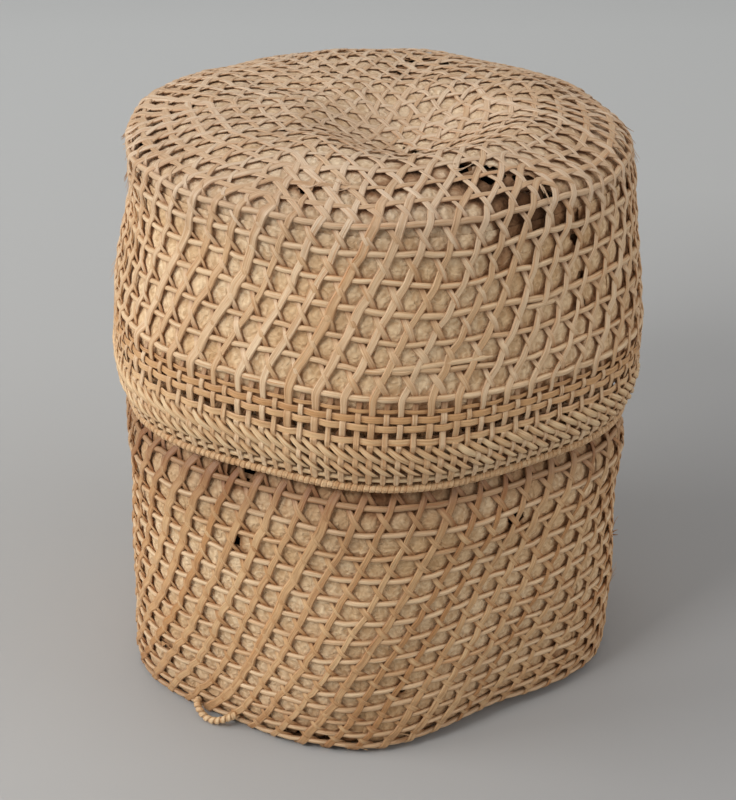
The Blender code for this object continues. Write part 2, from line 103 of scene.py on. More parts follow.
# A profile is wall past the first, and its waves fade out over the others at a rim and at the axis
WALL_RADIUS, RIM_FADE, AXIS_FADE, LEAST_ARC = 0.11, 0.012, 0.06, 0.02

# Slow waves over a body, as (size, turns round it, climb per metre of arc, start): in and out of the
# surface, and the drift of the whole weave along and aside within it
SWELLS, SWELL_MIDDLE = ((0.0007, 5, 38, 1.0), (0.0005, 9, -61, 2.0), (0.0003, 16, 95, 0.4)), -0.0003
DRIFTS_ALONG = ((0.0010, 4, -35, 0.7), (0.0007, 11, 70, 0.0))
DRIFTS_ASIDE = ((0.0013, 3, 44, 2.2), (0.0009, 7, -83, 1.1))

# A strip's thickness as a share of its half breadth, and the lift at which a strand counts as high
STRIP_THICKNESS, FULL_LIFT = 0.4, 0.0015


def mix(low, high, share):
    return low + (high - low) * share


def smoothstep(value):
    value = np.clip(value, 0.0, 1.0)
    return value * value * (3 - 2 * value)


def waves(rows, arc, azimuth):
    return sum(size * np.sin(turns * azimuth + climb * arc + start) for size, turns, climb, start in rows)


# Surfaces


def outline(azimuth, corners, flatness):
    """Share of the corner radius at each azimuth, the face it lies on and how near its middle."""
    degrees = (np.degrees(azimuth) + 180.0) % 360.0 - 180.0
    corners = np.broadcast_to(corners, (len(degrees), 6))
    ring = np.concatenate([corners[:, -1:] - 360.0, corners, corners[:, :1] + 360.0], axis=1)
    face = np.clip((degrees[:, None] >= ring).sum(axis=1) - 1, 0, 6)[:, None]
    start = np.take_along_axis(ring, face, 1)[:, 0]
    end = np.take_along_axis(ring, face + 1, 1)[:, 0]
    half = np.radians((end - start) / 2)
    across = (degrees - (start + end) / 2) / ((end - start) / 2)
    middle = (1 + np.cos(math.pi * across)) / 2
    return 1 - flatness * (1 - np.cos(half)) * middle, face[:, 0] - 1, middle


def basket_row_heights():
    """Heights of the basket's hoops, whose spacing opens out up to the last row in sight."""
    spacing = 1 + ROW_SPREAD * np.minimum(np.arange(BASKET_ROWS - 1) / ROWS_IN_SIGHT, 1.0)
    share = np.concatenate([[0.0], np.cumsum(spacing)]) / spacing.sum()
    return list(FIRST_BASKET_ROW + (TOP_BASKET_ROW - FIRST_BASKET_ROW) * share)


def lean(height):
    low, high = LEAN_MARKS[0][0], LEAN_MARKS[0][-1]
    return np.where((height < low) | (height > high), 0.0, np.interp(height, *LEAN_MARKS))


def sway(height):
    """How far the axis stands to the right."""
    marks, offsets = SWAY_MARKS
    stretch = np.clip(np.searchsorted(marks, height, side="right") - 1, 0, len(marks) - 2)
    share = smoothstep((height - marks[stretch]) / (marks[stretch + 1] - marks[stretch]))
    return mix(offsets[stretch], offsets[stretch + 1], share)


def dish_fall(x, y):
    apart = np.minimum(np.hypot(x - DISH_CENTRE[0], y - DISH_CENTRE[1]) / DISH_RADIUS, 1.0)
    return DISH_DEPTH * (1 - apart * apart) ** 2


def settle_basket(x, y, z):
    azimuth, radius = np.arctan2(x, -y), np.hypot(x, y)
    share = np.clip(z / RIM_HEIGHT, 0.0, 1.0)
    corners = FOOT_CORNERS + (TOP_CORNERS - FOOT_CORNERS) * share[:, None]
    factor, face, middle = outline(azimuth, corners, mix(FOOT_FLATNESS, NECK_FLATNESS, share))
    outward = np.clip((radius - FOOT_RADIUS / 2) / (FOOT_RADIUS / 2 - EDGE_ROUNDING), 0.0, 1.0)
    raised = RAISED_EDGE * middle * outward * np.clip(1 - z / BELLY_HEIGHT, 0.0, 1.0)
    lift = -x * factor * lean(z) + np.where(face == RAISED_FACE, raised, 0.0)
    return np.stack([x * factor + sway(z), y * factor, z + lift], axis=1)


def settle_lid(x, y, z):
    share = np.clip((z - RIM_HEIGHT) / (SHOULDER_HEIGHT - RIM_HEIGHT), 0.0, 1.0)
    factor, _, _ = outline(np.arctan2(x, -y), TOP_CORNERS, mix(NECK_FLATNESS, CROWN_FLATNESS, share))
    height = np.maximum(z, RIM_HEIGHT)
    fall = x * factor * lean(height) + dish_fall(x, y)
    return np.stack([x * factor + sway(height), y * factor, z - fall], axis=1)


def turned(azimuth, radius, height, settle):
    return settle(radius * np.sin(azimuth), -radius * np.cos(azimuth), height)


class Surface:
    """A body's outer surface. A place on it is (arc length from the axis, azimuth, depth)."""

    STEP = 0.0005

    def __init__(self, profile, settle, top, rims):
        points = np.array(profile)
        points = np.concatenate([[[-points[1, 0], points[1, 1]]], points])
        chord = np.concatenate([[0.0], np.cumsum(np.hypot(*np.diff(points, axis=0).T))])
        slope = np.gradient(points, chord, axis=0)
        at = np.arange(chord[1], chord[-1], self.STEP)
        index = np.clip(np.searchsorted(chord, at, side="right") - 1, 1, len(chord) - 2)
        span = (chord[index + 1] - chord[index])[:, None]
        u = (at - chord[index])[:, None] / span
        line = (2 * u**3 - 3 * u**2 + 1) * points[index] + (3 * u**2 - 2 * u**3) * points[index + 1]
        line += ((u**3 - 2 * u**2 + u) * slope[index] + (u**3 - u**2) * slope[index + 1]) * span
        self.side = 1.0 if top else -1.0
        self.settle = settle
        self.rims = rims
        self.arc = np.concatenate([[0.0], np.cumsum(np.hypot(*np.diff(line, axis=0).T))])
        self.radius, self.height = line.T
        along = np.gradient(line, self.arc, axis=0)
        along /= np.hypot(*along.T)[:, None]
        self.out_radius, self.out_height = -along[:, 1] * self.side, along[:, 0] * self.side

    def arc_at(self, height):
        """Arc length where the wall passes this height."""
        wall = self.radius > WALL_RADIUS
        order = np.argsort(self.height[wall], kind="stable")
        return np.interp(height, self.height[wall][order], self.arc[wall][order])

    def height_at(self, arc):
        return np.interp(arc, self.arc, self.height)

    def calm(self, arc):
        """One where the wall may swell and sink, zero at the axis and where the lid slides close."""
        height = self.height_at(arc)
        near = np.zeros_like(arc)
        for low, high in self.rims:
            inside = smoothstep((height - low) / RIM_FADE) * smoothstep((high - height) / RIM_FADE)
            near = np.maximum(near, inside)
        return smoothstep(arc / AXIS_FADE) * (1 - near)

    def swell(self, arc, azimuth):
        return waves(SWELLS, arc, azimuth) * self.calm(arc) + SWELL_MIDDLE

    def wander(self, arc, azimuth):
        """The same place after the slow drift of the whole weave, within its surface."""
        calm = self.calm(arc)
        along, aside = waves(DRIFTS_ALONG, arc, azimuth), waves(DRIFTS_ASIDE, arc, azimuth)
        return arc + along * calm, azimuth + aside * calm / np.maximum(arc, LEAST_ARC)

    def place(self, arc, azimuth, depth):
        depth = depth - self.swell(arc, azimuth)
        radius = np.interp(arc, self.arc, self.radius) - depth * np.interp(arc, self.arc, self.out_radius)
        height = np.interp(arc, self.arc, self.height) - depth * np.interp(arc, self.arc, self.out_height)
        return turned(azimuth, radius, height, self.settle)

    def outward(self, arc, azimuth, depth):
        """Unit normals of the settled surface."""
        step = 0.0004
        x, y = arc * np.sin(azimuth), -arc * np.cos(azimuth)
        sides = []
        for dx, dy in ((step, 0.0), (0.0, step)):
            ends = []
            for sign in (-1, 1):
                u, v = x + dx * sign, y + dy * sign
                ends.append(self.place(np.hypot(u, v), np.arctan2(u, -v), depth))
            sides.append(ends[1] - ends[0])
        normal = np.cross(*sides) * self.side
        return normal / np.linalg.norm(normal, axis=1)[:, None]


lid = Surface(LID_PROFILE, settle_lid, True, [(0.10, 0.22)])
basket = Surface(BASKET_PROFILE, settle_basket, False, [(-0.1, 0.004), (0.13, 0.40)])


# The net and its strands


def cap_place(q, r, ring, rings):
    """Ring coordinate and turn, in corners, of a cell of the hexagon: round in the middle, and
    following its sides at the edge."""
    if ring == 0:
        return 0.0, 0.0
    x, y = q + r / 2, r * math.sqrt(3) / 2
    sector = (math.atan2(y, x) % (2 * math.pi)) / (math.pi / 3)
    corner = int(sector + 1e-9) % 6
    by_angle = max(0.0, sector % 6 - corner) if corner or sector < 5.5 else 0.0
    for _ in range(corner):
        q, r = q + r, -q
    weight = float(smoothstep(ring / rings))
    return mix(math.hypot(x, y), ring, weight), corner + mix(by_angle, r / ring, weight)


def make_net(rings, rows):
    """Cells as (ring coordinate, turn), and the triangles between them, anticlockwise from above."""
    cells, number = [], {}
    for q in range(-rings, rings + 1):
        for r in range(-rings, rings + 1):
            ring = max(abs(q), abs(r), abs(q + r))
            if ring <= rings:
                number[q, r] = len(cells)
                cells.append(cap_place(q, r, ring, rings))
    triangles = []
    for q in range(-rings - 1, rings + 1):
        for r in range(-rings - 1, rings + 1):
            for three in (((q, r), (q + 1, r), (q, r + 1)), ((q + 1, r), (q + 1, r + 1), (q, r + 1))):
                if all(one in number for one in three):
                    triangles.append(tuple(number[one] for one in three))
    around = 6 * rings
    previous = []
    for step in range(around):
        q, r = rings - step % rings, step % rings
        for _ in range(step // rings):
            q, r = -r, q + r
        previous.append(number[q, r])
    for row in range(1, rows + 1):
        current = []
        for step in range(around):
            current.append(len(cells))
            cells.append((rings + row, ((step + row / 2) / rings) % 6))
        for step in range(around):
            after = (step + 1) % around
            triangles.append((previous[step], current[step], previous[after]))
            triangles.append((current[step], current[after], previous[after]))
        previous = current
    return cells, triangles


def trace_strands(triangles):
    """Each strand as a list of (edge, over or under), and whether it closes on itself. A strand that
    cuts off one end of an edge on its first side cuts off the other end on its second."""
    left = {}
    for index, (a, b, c) in enumerate(triangles):
        left[a, b] = left[b, c] = left[c, a] = index
    rims = [edge for edge in sorted(left) if edge[::-1] not in left]
    starts = [(left[edge], *ends) for edge in rims for ends in (edge, edge[::-1])]
    for side in range(3):
        starts += [(index, three[side], three[(side + 1) % 3]) for index, three in enumerate(triangles)]
    seen, strands = set(), []
    for triangle, corner, came in starts:
        if (triangle, corner) in seen:
            continue
        path, closed = [], False
        while True:
            seen.add((triangle, corner))
            at = triangles[triangle].index(corner)
            after, before = triangles[triangle][(at + 1) % 3], triangles[triangle][(at + 2) % 3]
            onward, sign = (after, 1) if came == before else (before, -1)
            following = left.get((onward, corner) if sign == 1 else (corner, onward))
            if following is None:
                break
            path.append(((min(corner, onward), max(corner, onward)), sign))
            triangle, corner, came = following, onward, corner
            if (triangle, corner) in seen:
                closed = True
                break
        strands.append((path, closed))
    return strands


def spline(points, closed, per_stretch):
    """Smooth line through the rows of points, with that many samples in each stretch."""
    if closed:
        padded = np.concatenate([points[-1:], points, points[:2]])
    else:
        padded = np.concatenate([2 * points[:1] - points[1:2], points, 2 * points[-1:] - points[-2:-1]])
    before, start, end, after = padded[:-3], padded[1:-2], padded[2:-1], padded[3:]
    u = (np.arange(per_stretch) / per_stretch)[None, :, None]
    before, start, end, after = (part[:, None, :] for part in (before, start, end, after))
    line = 0.5 * (
        2 * start + (end - before) * u + (2 * before - 5 * start + 4 * end - after) * u**2
        + (3 * start - before - 3 * end + after) * u**3
    )
    line = line.reshape(-1, points.shape[1])
    return line if closed else np.concatenate([line, points[-1:]])


class Guides:
    """Centre lines to be swept into strands, gathered for one piece."""

    def __init__(self):
        self.places, self.outwards, self.edges = [], [], []
        self.breadths, self.tones, self.levels = [], [], []
        self.count = 0

    def add(self, places, outwards, breadths, tone, closed=False, level=0.0):
        """level is how far a strand is above its layer's middle, for the painted shade where it lies below.
        """
        size = len(places)
        index = np.arange(size)
        ends = np.stack([index, np.roll(index, -1)], axis=1)
        self.edges.append((ends if closed else ends[:-1]) + self.count)
        self.places.append(places)
        self.outwards.append(outwards)
        self.breadths.append(np.broadcast_to(breadths, (size,)))
        self.tones.append(np.broadcast_to(tone, (size,)))
        self.levels.append(np.broadcast_to(level, (size,)))
        self.count += size

    def add_line(self, surface, line, tone, closed=False):
        """line has the rows that flat makes: arc length times the azimuth's direction as x and y, lift above
        the weave's middle, half breadth and the middle's depth."""
        arc, azimuth = np.hypot(line[:, 0], line[:, 1]), np.arctan2(line[:, 0], -line[:, 1])
        depth = line[:, 4] - line[:, 2]
        places, outward = surface.place(arc, azimuth, depth), surface.outward(arc, azimuth, depth)
        along = np.gradient(places, axis=0)
        across = np.abs(np.cross(along / np.linalg.norm(along, axis=1)[:, None], outward)[:, 2])
        lowest = line[:, 3] * np.minimum(across + STRIP_THICKNESS * np.abs(outward[:, 2]), 1.0) + LOWEST_POINT
        places[:, 2] = np.maximum(places[:, 2], lowest)
        self.add(places, outward, line[:, 3], tone, closed, line[:, 2] / FULL_LIFT)

    def mesh(self, name):
        mesh = bpy.data.meshes.new(name)
        mesh.from_pydata(np.concatenate(self.places).tolist(), np.concatenate(self.edges).tolist(), [])
        outward = mesh.attributes.new("outward", "FLOAT_VECTOR", "POINT")
        outward.data.foreach_set("vector", np.concatenate(self.outwards).astype(np.float32).ravel())
        for title, values in (("breadth", self.breadths), ("tone", self.tones), ("level", self.levels)):
            attribute = mesh.attributes.new(title, "FLOAT", "POINT")
            attribute.data.foreach_set("value", np.concatenate(values).astype(np.float32))
        return mesh


def flat(arc, azimuth, *channels):
    """Rows for Guides.add_line from arc lengths, azimuths and the other channels."""
    arc, azimuth = np.asarray(arc, float), np.asarray(azimuth, float)
    rows = [arc * np.sin(azimuth), -arc * np.cos(azimuth)]
    rows += [np.broadcast_to(np.asarray(channel, float), arc.shape) for channel in channels]
    return np.stack(rows, axis=1)


# Geometry node trees


def add_node(tree, kind, settings, values):
    """A new node, with its settings made first and its sockets then linked or given values."""
    made = tree.nodes.new(kind)
    for title, value in dict(settings).items():
        setattr(made, title, value)
    for title, value in dict(values).items():
        if isinstance(value, bpy.types.NodeSocket):
            tree.links.new(value, made.inputs[title])
        else:
            made.inputs[title].default_value = value
    return made


class Tree:
    """A geometry node tree with named inputs, given as titles and kinds of socket."""

    def __init__(self, name, inputs):
        self.tree = bpy.data.node_groups.new(name, "GeometryNodeTree")
        face = self.tree.interface
        face.new_socket("Geometry", in_out="OUTPUT", socket_type="NodeSocketGeometry")
        self.names = {}
        for title, kind in {"Geometry": "Geometry", **inputs, "Material": "Material"}.items():
            made = face.new_socket(title, in_out="INPUT", socket_type="NodeSocket" + kind)
            self.names[title] = made.identifier
        self.entry = self.tree.nodes.new("NodeGroupInput")
        self.end = self.tree.nodes.new("NodeGroupOutput")

    def node(self, kind, settings=(), values=()):
        return add_node(self.tree, kind, settings, values).outputs

    def maths(self, operation, *values):
        return self.node("ShaderNodeMath", {"operation": operation}, dict(enumerate(values)))[0]

    def attribute(self, title, kind="FLOAT"):
        return self.node("GeometryNodeInputNamedAttribute", {"data_type": kind}, {"Name": title})["Attribute"]

    def stored(self, geometry, title, value):
        values = {"Geometry": geometry, "Name": title, "Value": value}
        return self.node("GeometryNodeStoreNamedAttribute", {"data_type": "FLOAT"}, values)[0]

    def finish(self, geometry):
        smooth = self.node("GeometryNodeSetShadeSmooth", (), {"Geometry": geometry})[0]
        real = self.node("GeometryNodeRealizeInstances", (), {"Geometry": smooth})[0]
        material = self.entry.outputs["Material"]
        done = self.node("GeometryNodeSetMaterial", (), {"Geometry": real, "Material": material})[0]
        self.tree.links.new(done, self.end.inputs[0])


def make_sweep():
    """Sweeps a strip along each guide, broad across the surface and thin away from it. A widening
    under 1 flattens its faces, and the edges that turn by more than the crease stay crisp."""
    tree = Tree("strand_sweep", {"Sides": "Int", "Thinness": "Float", "Widening": "Float", "Crease": "Float"})
    entry = tree.entry.outputs
    curve = tree.node("GeometryNodeMeshToCurve", (), {"Mesh": entry["Geometry"]})[0]
    outward = tree.attribute("outward", "FLOAT_VECTOR")
    curve = tree.node("GeometryNodeSetCurveNormal", {"mode": "FREE"}, {"Curve": curve, "Normal": outward})[0]
    curve = tree.stored(curve, "along", tree.node("GeometryNodeSplineParameter")["Length"])
    values = {"Resolution": entry["Sides"], "Radius": 1.0}
    circle = tree.node("GeometryNodeCurvePrimitiveCircle", (), values)[0]
    half_side = tree.maths("DIVIDE", math.pi, entry["Sides"])
    values = {"Vector": tree.node("GeometryNodeInputPosition")[0], "Angle": half_side}
    corner = tree.node("ShaderNodeVectorRotate", {"rotation_type": "Z_AXIS"}, values)[0]
    corner = tree.node("ShaderNodeSeparateXYZ", (), {"Vector": corner})
    width = tree.maths("POWER", tree.maths("ABSOLUTE", corner["Y"]), entry["Widening"])
    across = tree.maths("MULTIPLY", width, tree.maths("SIGN", corner["Y"]))
    thick = tree.maths("MULTIPLY", corner["X"], entry["Thinness"])
    place = tree.node("ShaderNodeCombineXYZ", (), {"X": thick, "Y": across, "Z": 0.0})[0]
    circle = tree.stored(circle, "across", across)
    strip = tree.node("GeometryNodeSetPosition", (), {"Geometry": circle, "Position": place})[0]
    values = {"Curve": curve, "Profile Curve": strip, "Scale": tree.attribute("breadth"), "Fill Caps": True}
    mesh = tree.node("GeometryNodeCurveToMesh", (), values)[0]
    angle = tree.node("GeometryNodeInputMeshEdgeAngle")["Unsigned Angle"]
    crisp = tree.maths("GREATER_THAN", angle, entry["Crease"])
    values = {"Geometry": mesh, "Selection": crisp, "Shade Smooth": False}
    tree.finish(tree.node("GeometryNodeSetShadeSmooth", {"domain": "EDGE"}, values)[0])
    return tree


def make_plain(item):
    """Swaps an object's mesh for the one that its modifiers make of it."""
    old = item.data
    made = bpy.data.meshes.new_from_object(item.evaluated_get(bpy.context.evaluated_depsgraph_get()))
    item.modifiers.clear()
    item.data = made
    bpy.data.meshes.remove(old)
    made.name = item.name


def apply_tree(name, mesh, tree, values):
    """Runs a tree on a mesh and returns the result as an object with a plain mesh."""
    item = bpy.data.objects.new(name, mesh)
    bpy.context.scene.collection.objects.link(item)
    modifier = item.modifiers.new("shape", "NODES")
    modifier.node_group = tree.tree
    for title, value in values.items():
        modifier[tree.names[title]] = value
    make_plain(item)
    return item


sweep = make_sweep()

# Strips thinner than the first share keep edges crisp past the second turn, and rods past the third
STRIP_UNDER, STRIP_CREASE, ROD_CREASE = 0.6, 0.55, 3.2


def swept(name, guides, material, body, nodes, sides, thinness, widening):
    """Sweeps the guides; strips that are much broader than thick get crisp edges."""
    crease = STRIP_CREASE if thinness < STRIP_UNDER else ROD_CREASE
    values = {"Sides": sides, "Thinness": thinness, "Widening": widening, "Crease": crease}
    piece = apply_tree(name, guides.mesh(name + "_guides"), sweep, {**values, "Material": material})
    for title in ("outward", "breadth"):
        if title in piece.data.attributes:
            piece.data.attributes.remove(piece.data.attributes[title])
    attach(piece, body)
    if nodes:
        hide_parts(*nodes)


# Materials


class Wire:
    """A shader socket, with arithmetic on it."""

    def __init__(self, shader, socket):
        self.shader, self.socket = shader, socket

    def maths(self, operation, *others):
        values = dict(enumerate((self, *others)))
        return self.shader.node("ShaderNodeMath", {"operation": operation}, values)

    def __add__(self, other):
        return self.maths("ADD", other)

    def __mul__(self, other):
        return self.maths("MULTIPLY", other)

    def __sub__(self, other):
        return self.maths("SUBTRACT", other)

    def __rsub__(self, other):
        return (self * -1.0) + other

    __radd__, __rmul__ = __add__, __mul__


class Shader:
    """A material's node tree."""

    def __init__(self, name, roughness, specular=0.5):
        self.material = bpy.data.materials.new(name)
        self.material.use_nodes = True
        self.tree = self.material.node_tree
        self.surface = self.tree.nodes["Principled BSDF"]
        self.surface.inputs["Roughness"].default_value = roughness
        self.surface.inputs["Specular IOR Level"].default_value = specular

    def node(self, kind, settings=(), values=(), out=0):
        sockets = {title: getattr(value, "socket", value) for title, value in dict(values).items()}
        return Wire(self, add_node(self.tree, kind, settings, sockets).outputs[out])

    def attribute(self, title):
        return self.node("ShaderNodeAttribute", {"attribute_name": title}, (), "Fac")

    def place(self):
        return self.node("ShaderNodeTexCoord", (), (), "Object")

    def axis(self, number):
        """The place's x, y or z."""
        return self.node("ShaderNodeSeparateXYZ", (), {0: self.place()}, number)

    def noise(self, vector, scale, detail=3.0, distortion=0.0):
        values = {"Vector": vector, "Scale": scale, "Detail": detail, "Distortion": distortion}
        return self.node("ShaderNodeTexNoise", (), values)

    def vector(self, x, y, z):
        return self.node("ShaderNodeCombineXYZ", (), {"X": x, "Y": y, "Z": z})

    def ramp(self, factor, low, high):
        """Factor stretched so that low becomes 0 and high becomes 1."""
        values = {"Value": factor, "From Min": low, "From Max": high}
        return self.node("ShaderNodeMapRange", {"clamp": True}, values)

    def blend(self, factor, first, second, mode="MIX"):
        settings = {"data_type": "RGBA", "blend_type": mode}
        return self.node("ShaderNodeMix", settings, {0: factor, 6: first, 7: second}, 2)

    def layers(self, base, mode, rows):
        """The base under other colours, each as (mask, where it starts, where it is full, share, colour)."""
        for mask, low, high, share, shade in rows:
            base = self.blend(self.ramp(mask, low, high) * share, base, shade, mode)
        return base

    def finish(self, colour, roughness, height, strength, distance):
        bump = self.node("ShaderNodeBump", (), {"Height": height, "Strength": strength, "Distance": distance})
        for title, wire in (("Base Color", colour), ("Roughness", roughness), ("Normal", bump)):
            self.tree.links.new(wire.socket, self.surface.inputs[title])
        return self.material


def colour(red, green, blue):
    """A colour given as it looks, 0 to 255, as the shader's linear values."""
    parts = [part / 255 for part in (red, green, blue)]
    linear = [part / 12.92 if part <= 0.04045 else ((part + 0.055) / 1.055) ** 2.4 for part in parts]
    return (*linear, 1.0)


# Heights between which the painted shade under the lid's rim starts, and the crown's dust comes up
SHELTER, DUST = (0.172, 0.168), (0.272, 0.300)


def darker_band(shader, base, low, high, depth):
    """Browner between two heights, most at the higher one: painted shade under the lid's rim, and nearer the
    floor only darker towards the bottom.
    """
    height = shader.axis(2)
    band = shader.ramp(height + shader.noise(shader.place(), 30.0) * 0.02, low, high)
    return shader.blend(band * shader.ramp(height, *SHELTER) * depth, base, colour(150, 112, 76), "MULTIPLY")


def dusty(shader, base):
    """Greyer on the crown."""
    return shader.blend(shader.ramp(shader.axis(2), *DUST), base, colour(240, 244, 255), "MULTIPLY")


def cane(name, shades, roughness=0.5, darkening=0.0):
    """Split cane: fibres along it, darker edges, blotches that differ from strand to strand, and painted
    shade where it goes under others. Its shades are pale, tan and deep."""
    pale, tan, deep = (colour(*shade) for shade in shades)
    shader = Shader(name, roughness)
    tone, along, across, level = (shader.attribute(title) for title in ("tone", "along", "across", "level"))
    shift = tone * 37.0
    fibres = shader.noise(shader.vector(across * 2.6 + shift, along * 45.0, shift), 1.6, 4.0)
    streaks = shader.noise(shader.vector(across * 1.1 + shift * 0.7, along * 14.0, shift), 1.2, 2.0)
    blotches = shader.noise(shader.place(), 38.0, 3.0)
    splits = shader.noise(shader.vector(across * 1.4 - shift, along * 9.0, shift), 1.5, 2.0)
    base = shader.blend(shader.ramp(tone, 0.15, 0.85), pale, tan)
    base = shader.layers(base, "MIX", (
        (splits, 0.56, 0.74, 0.6, colour(206, 138, 78)),
        (streaks, 0.50, 0.72, 0.6, deep),
        (blotches, 0.50, 0.72, 0.3, tan),
    ))
    # The last of these is painted shade on a strand where it goes under others.
    base = shader.layers(base, "MULTIPLY", (
        (fibres, 0.42, 0.75, 0.5, colour(196, 160, 118)),
        (across * across, 0.6, 1.0, 0.5, colour(176, 138, 98)),
        (level * -1.0, 0.0, 1.0, 0.8, colour(170, 128, 86)),
    ))
    # Painted shade just under the lid's rim, and darker towards the floor.
    if darkening:
        base = darker_band(shader, base, 0.135, 0.165, darkening)
        base = darker_band(shader, base, 0.060, 0.0, darkening * 0.5)
    rough = shader.ramp(fibres, 0.2, 0.9) * 0.2 + (roughness - 0.08)
    return shader.finish(dusty(shader, base), rough, fibres, 0.6, 0.0005)


def leaf_skin(name, shades, darkening):
    """Dried leaf: cream, wrinkled like crushed paper, with faint long veins. Its shades are pale, warm
    and dark."""
    pale, warm, dark = (colour(*shade) for shade in shades)
    shader = Shader(name, 0.8, 0.25)
    place = shader.place()
    stretched = shader.node("ShaderNodeMapping", (), {"Vector": place, "Scale": (1.0, 1.0, 0.3)})
    values = {"Vector": place, "Scale": 420.0, "Smoothness": 0.6}
    pebbles = shader.node("ShaderNodeTexVoronoi", {"feature": "SMOOTH_F1"}, values)
    grain = shader.noise(place, 700.0, 3.0)
    wrinkles = shader.noise(place, 210.0, 4.0, 1.2)
    veins = shader.noise(stretched, 240.0, 2.0)
    clouds = shader.noise(place, 26.0, 3.0)
    base = shader.blend(shader.ramp(clouds, 0.38, 0.66), pale, warm)
    # Wrinkles and pebbles are darker where their bumps lie low: painted shade in their hollows. The veins are
    # the leaf's own colour.
    base = shader.layers(base, "MIX", (
        (wrinkles, 0.55, 0.38, 0.5, dark),
        (pebbles, 0.25, 0.75, 0.35, dark),
        (veins, 0.55, 0.75, 0.3, dark),
    ))
    # Painted shade just under the lid's rim, and darker towards the floor.
    base = darker_band(shader, base, 0.135, 0.165, darkening)
    base = dusty(shader, darker_band(shader, base, 0.090, 0.010, darkening * 0.6))
    swollen = shader.attribute("swollen")
    # Painted shade at the edges of each cell, next to the strands, where the lining swells least.
    base = shader.layers(base, "MULTIPLY", [(swollen, 0.50, 0.0, 0.7, colour(176, 132, 90))])
    # Painted shade where the listed shaded places take the swelling below zero.
    base = shader.blend(shader.ramp(swollen, 0.3, -1.2), base, colour(148, 136, 122), "MULTIPLY")
    height = wrinkles * 1.4 - pebbles * 0.6 + grain * 0.3
    rough = shader.ramp(wrinkles, 0.2, 0.9) * 0.2 + 0.68
    return shader.finish(base, rough, height, 1.0, 0.0009)


# The last number given for the basket's cane, the rods and the leaf is how much painted shade they take under
# the lid's rim, and how much darker they get towards the floor.
lid_cane = cane("lid_split_cane", ((234, 204, 166), (218, 180, 136), (192, 142, 92)))
basket_cane = cane("basket_split_cane", ((226, 188, 140), (200, 150, 98), (172, 114, 64)), darkening=0.7)
rod_cane = cane("round_rod", ((234, 204, 164), (218, 180, 136), (188, 144, 100)), 0.55, 0.6)
belt_cane = cane("belt_cane", ((232, 194, 146), (212, 166, 114), (176, 120, 66)), 0.45)
pale_cane = cane("pale_stub_cane", ((236, 206, 162), (222, 180, 130), (194, 144, 92)))
wrap_cane = cane("wrapping_cane", ((230, 196, 152), (212, 170, 122), (170, 124, 82)))
# The inner cane is darker and browner than the others: painted shade for the layer that lies deep inside.
inner_cane = cane("inner_cane", ((208, 172, 128), (184, 140, 94), (150, 106, 66)), 0.6)
leaf_lining = leaf_skin("dried_leaf", ((248, 220, 180), (230, 194, 148), (180, 136, 90)), 0.6)


# The woven layer

# Unevenness of the crossings in cells, along the net's rays and aside
PLAY_ALONG, PLAY_ASIDE = 0.018, 0.030

# Stakes take on the wall's look from this share of the cap's rings on, over this share of them
WALL_START, WALL_SPAN = 0.55, 0.45

# How many rings past the cap's a crossing has to be for a hoop to run there
HOOP_START = 0.4

# Spread in size between hoops and between stakes, its limits, and the spread along one stake
HOOP_SPREAD, STAKE_SPREAD, SIZE_LIMITS, ALONG_SPREAD = 0.07, 0.15, (0.72, 1.30), 0.06

# At the right slashes are narrower and backslashes broader by these shares, and hoops dip more than rise
SLASH_LESS, BACKSLASH_MORE, HOOP_DIP = 0.16, 0.12, 1.1


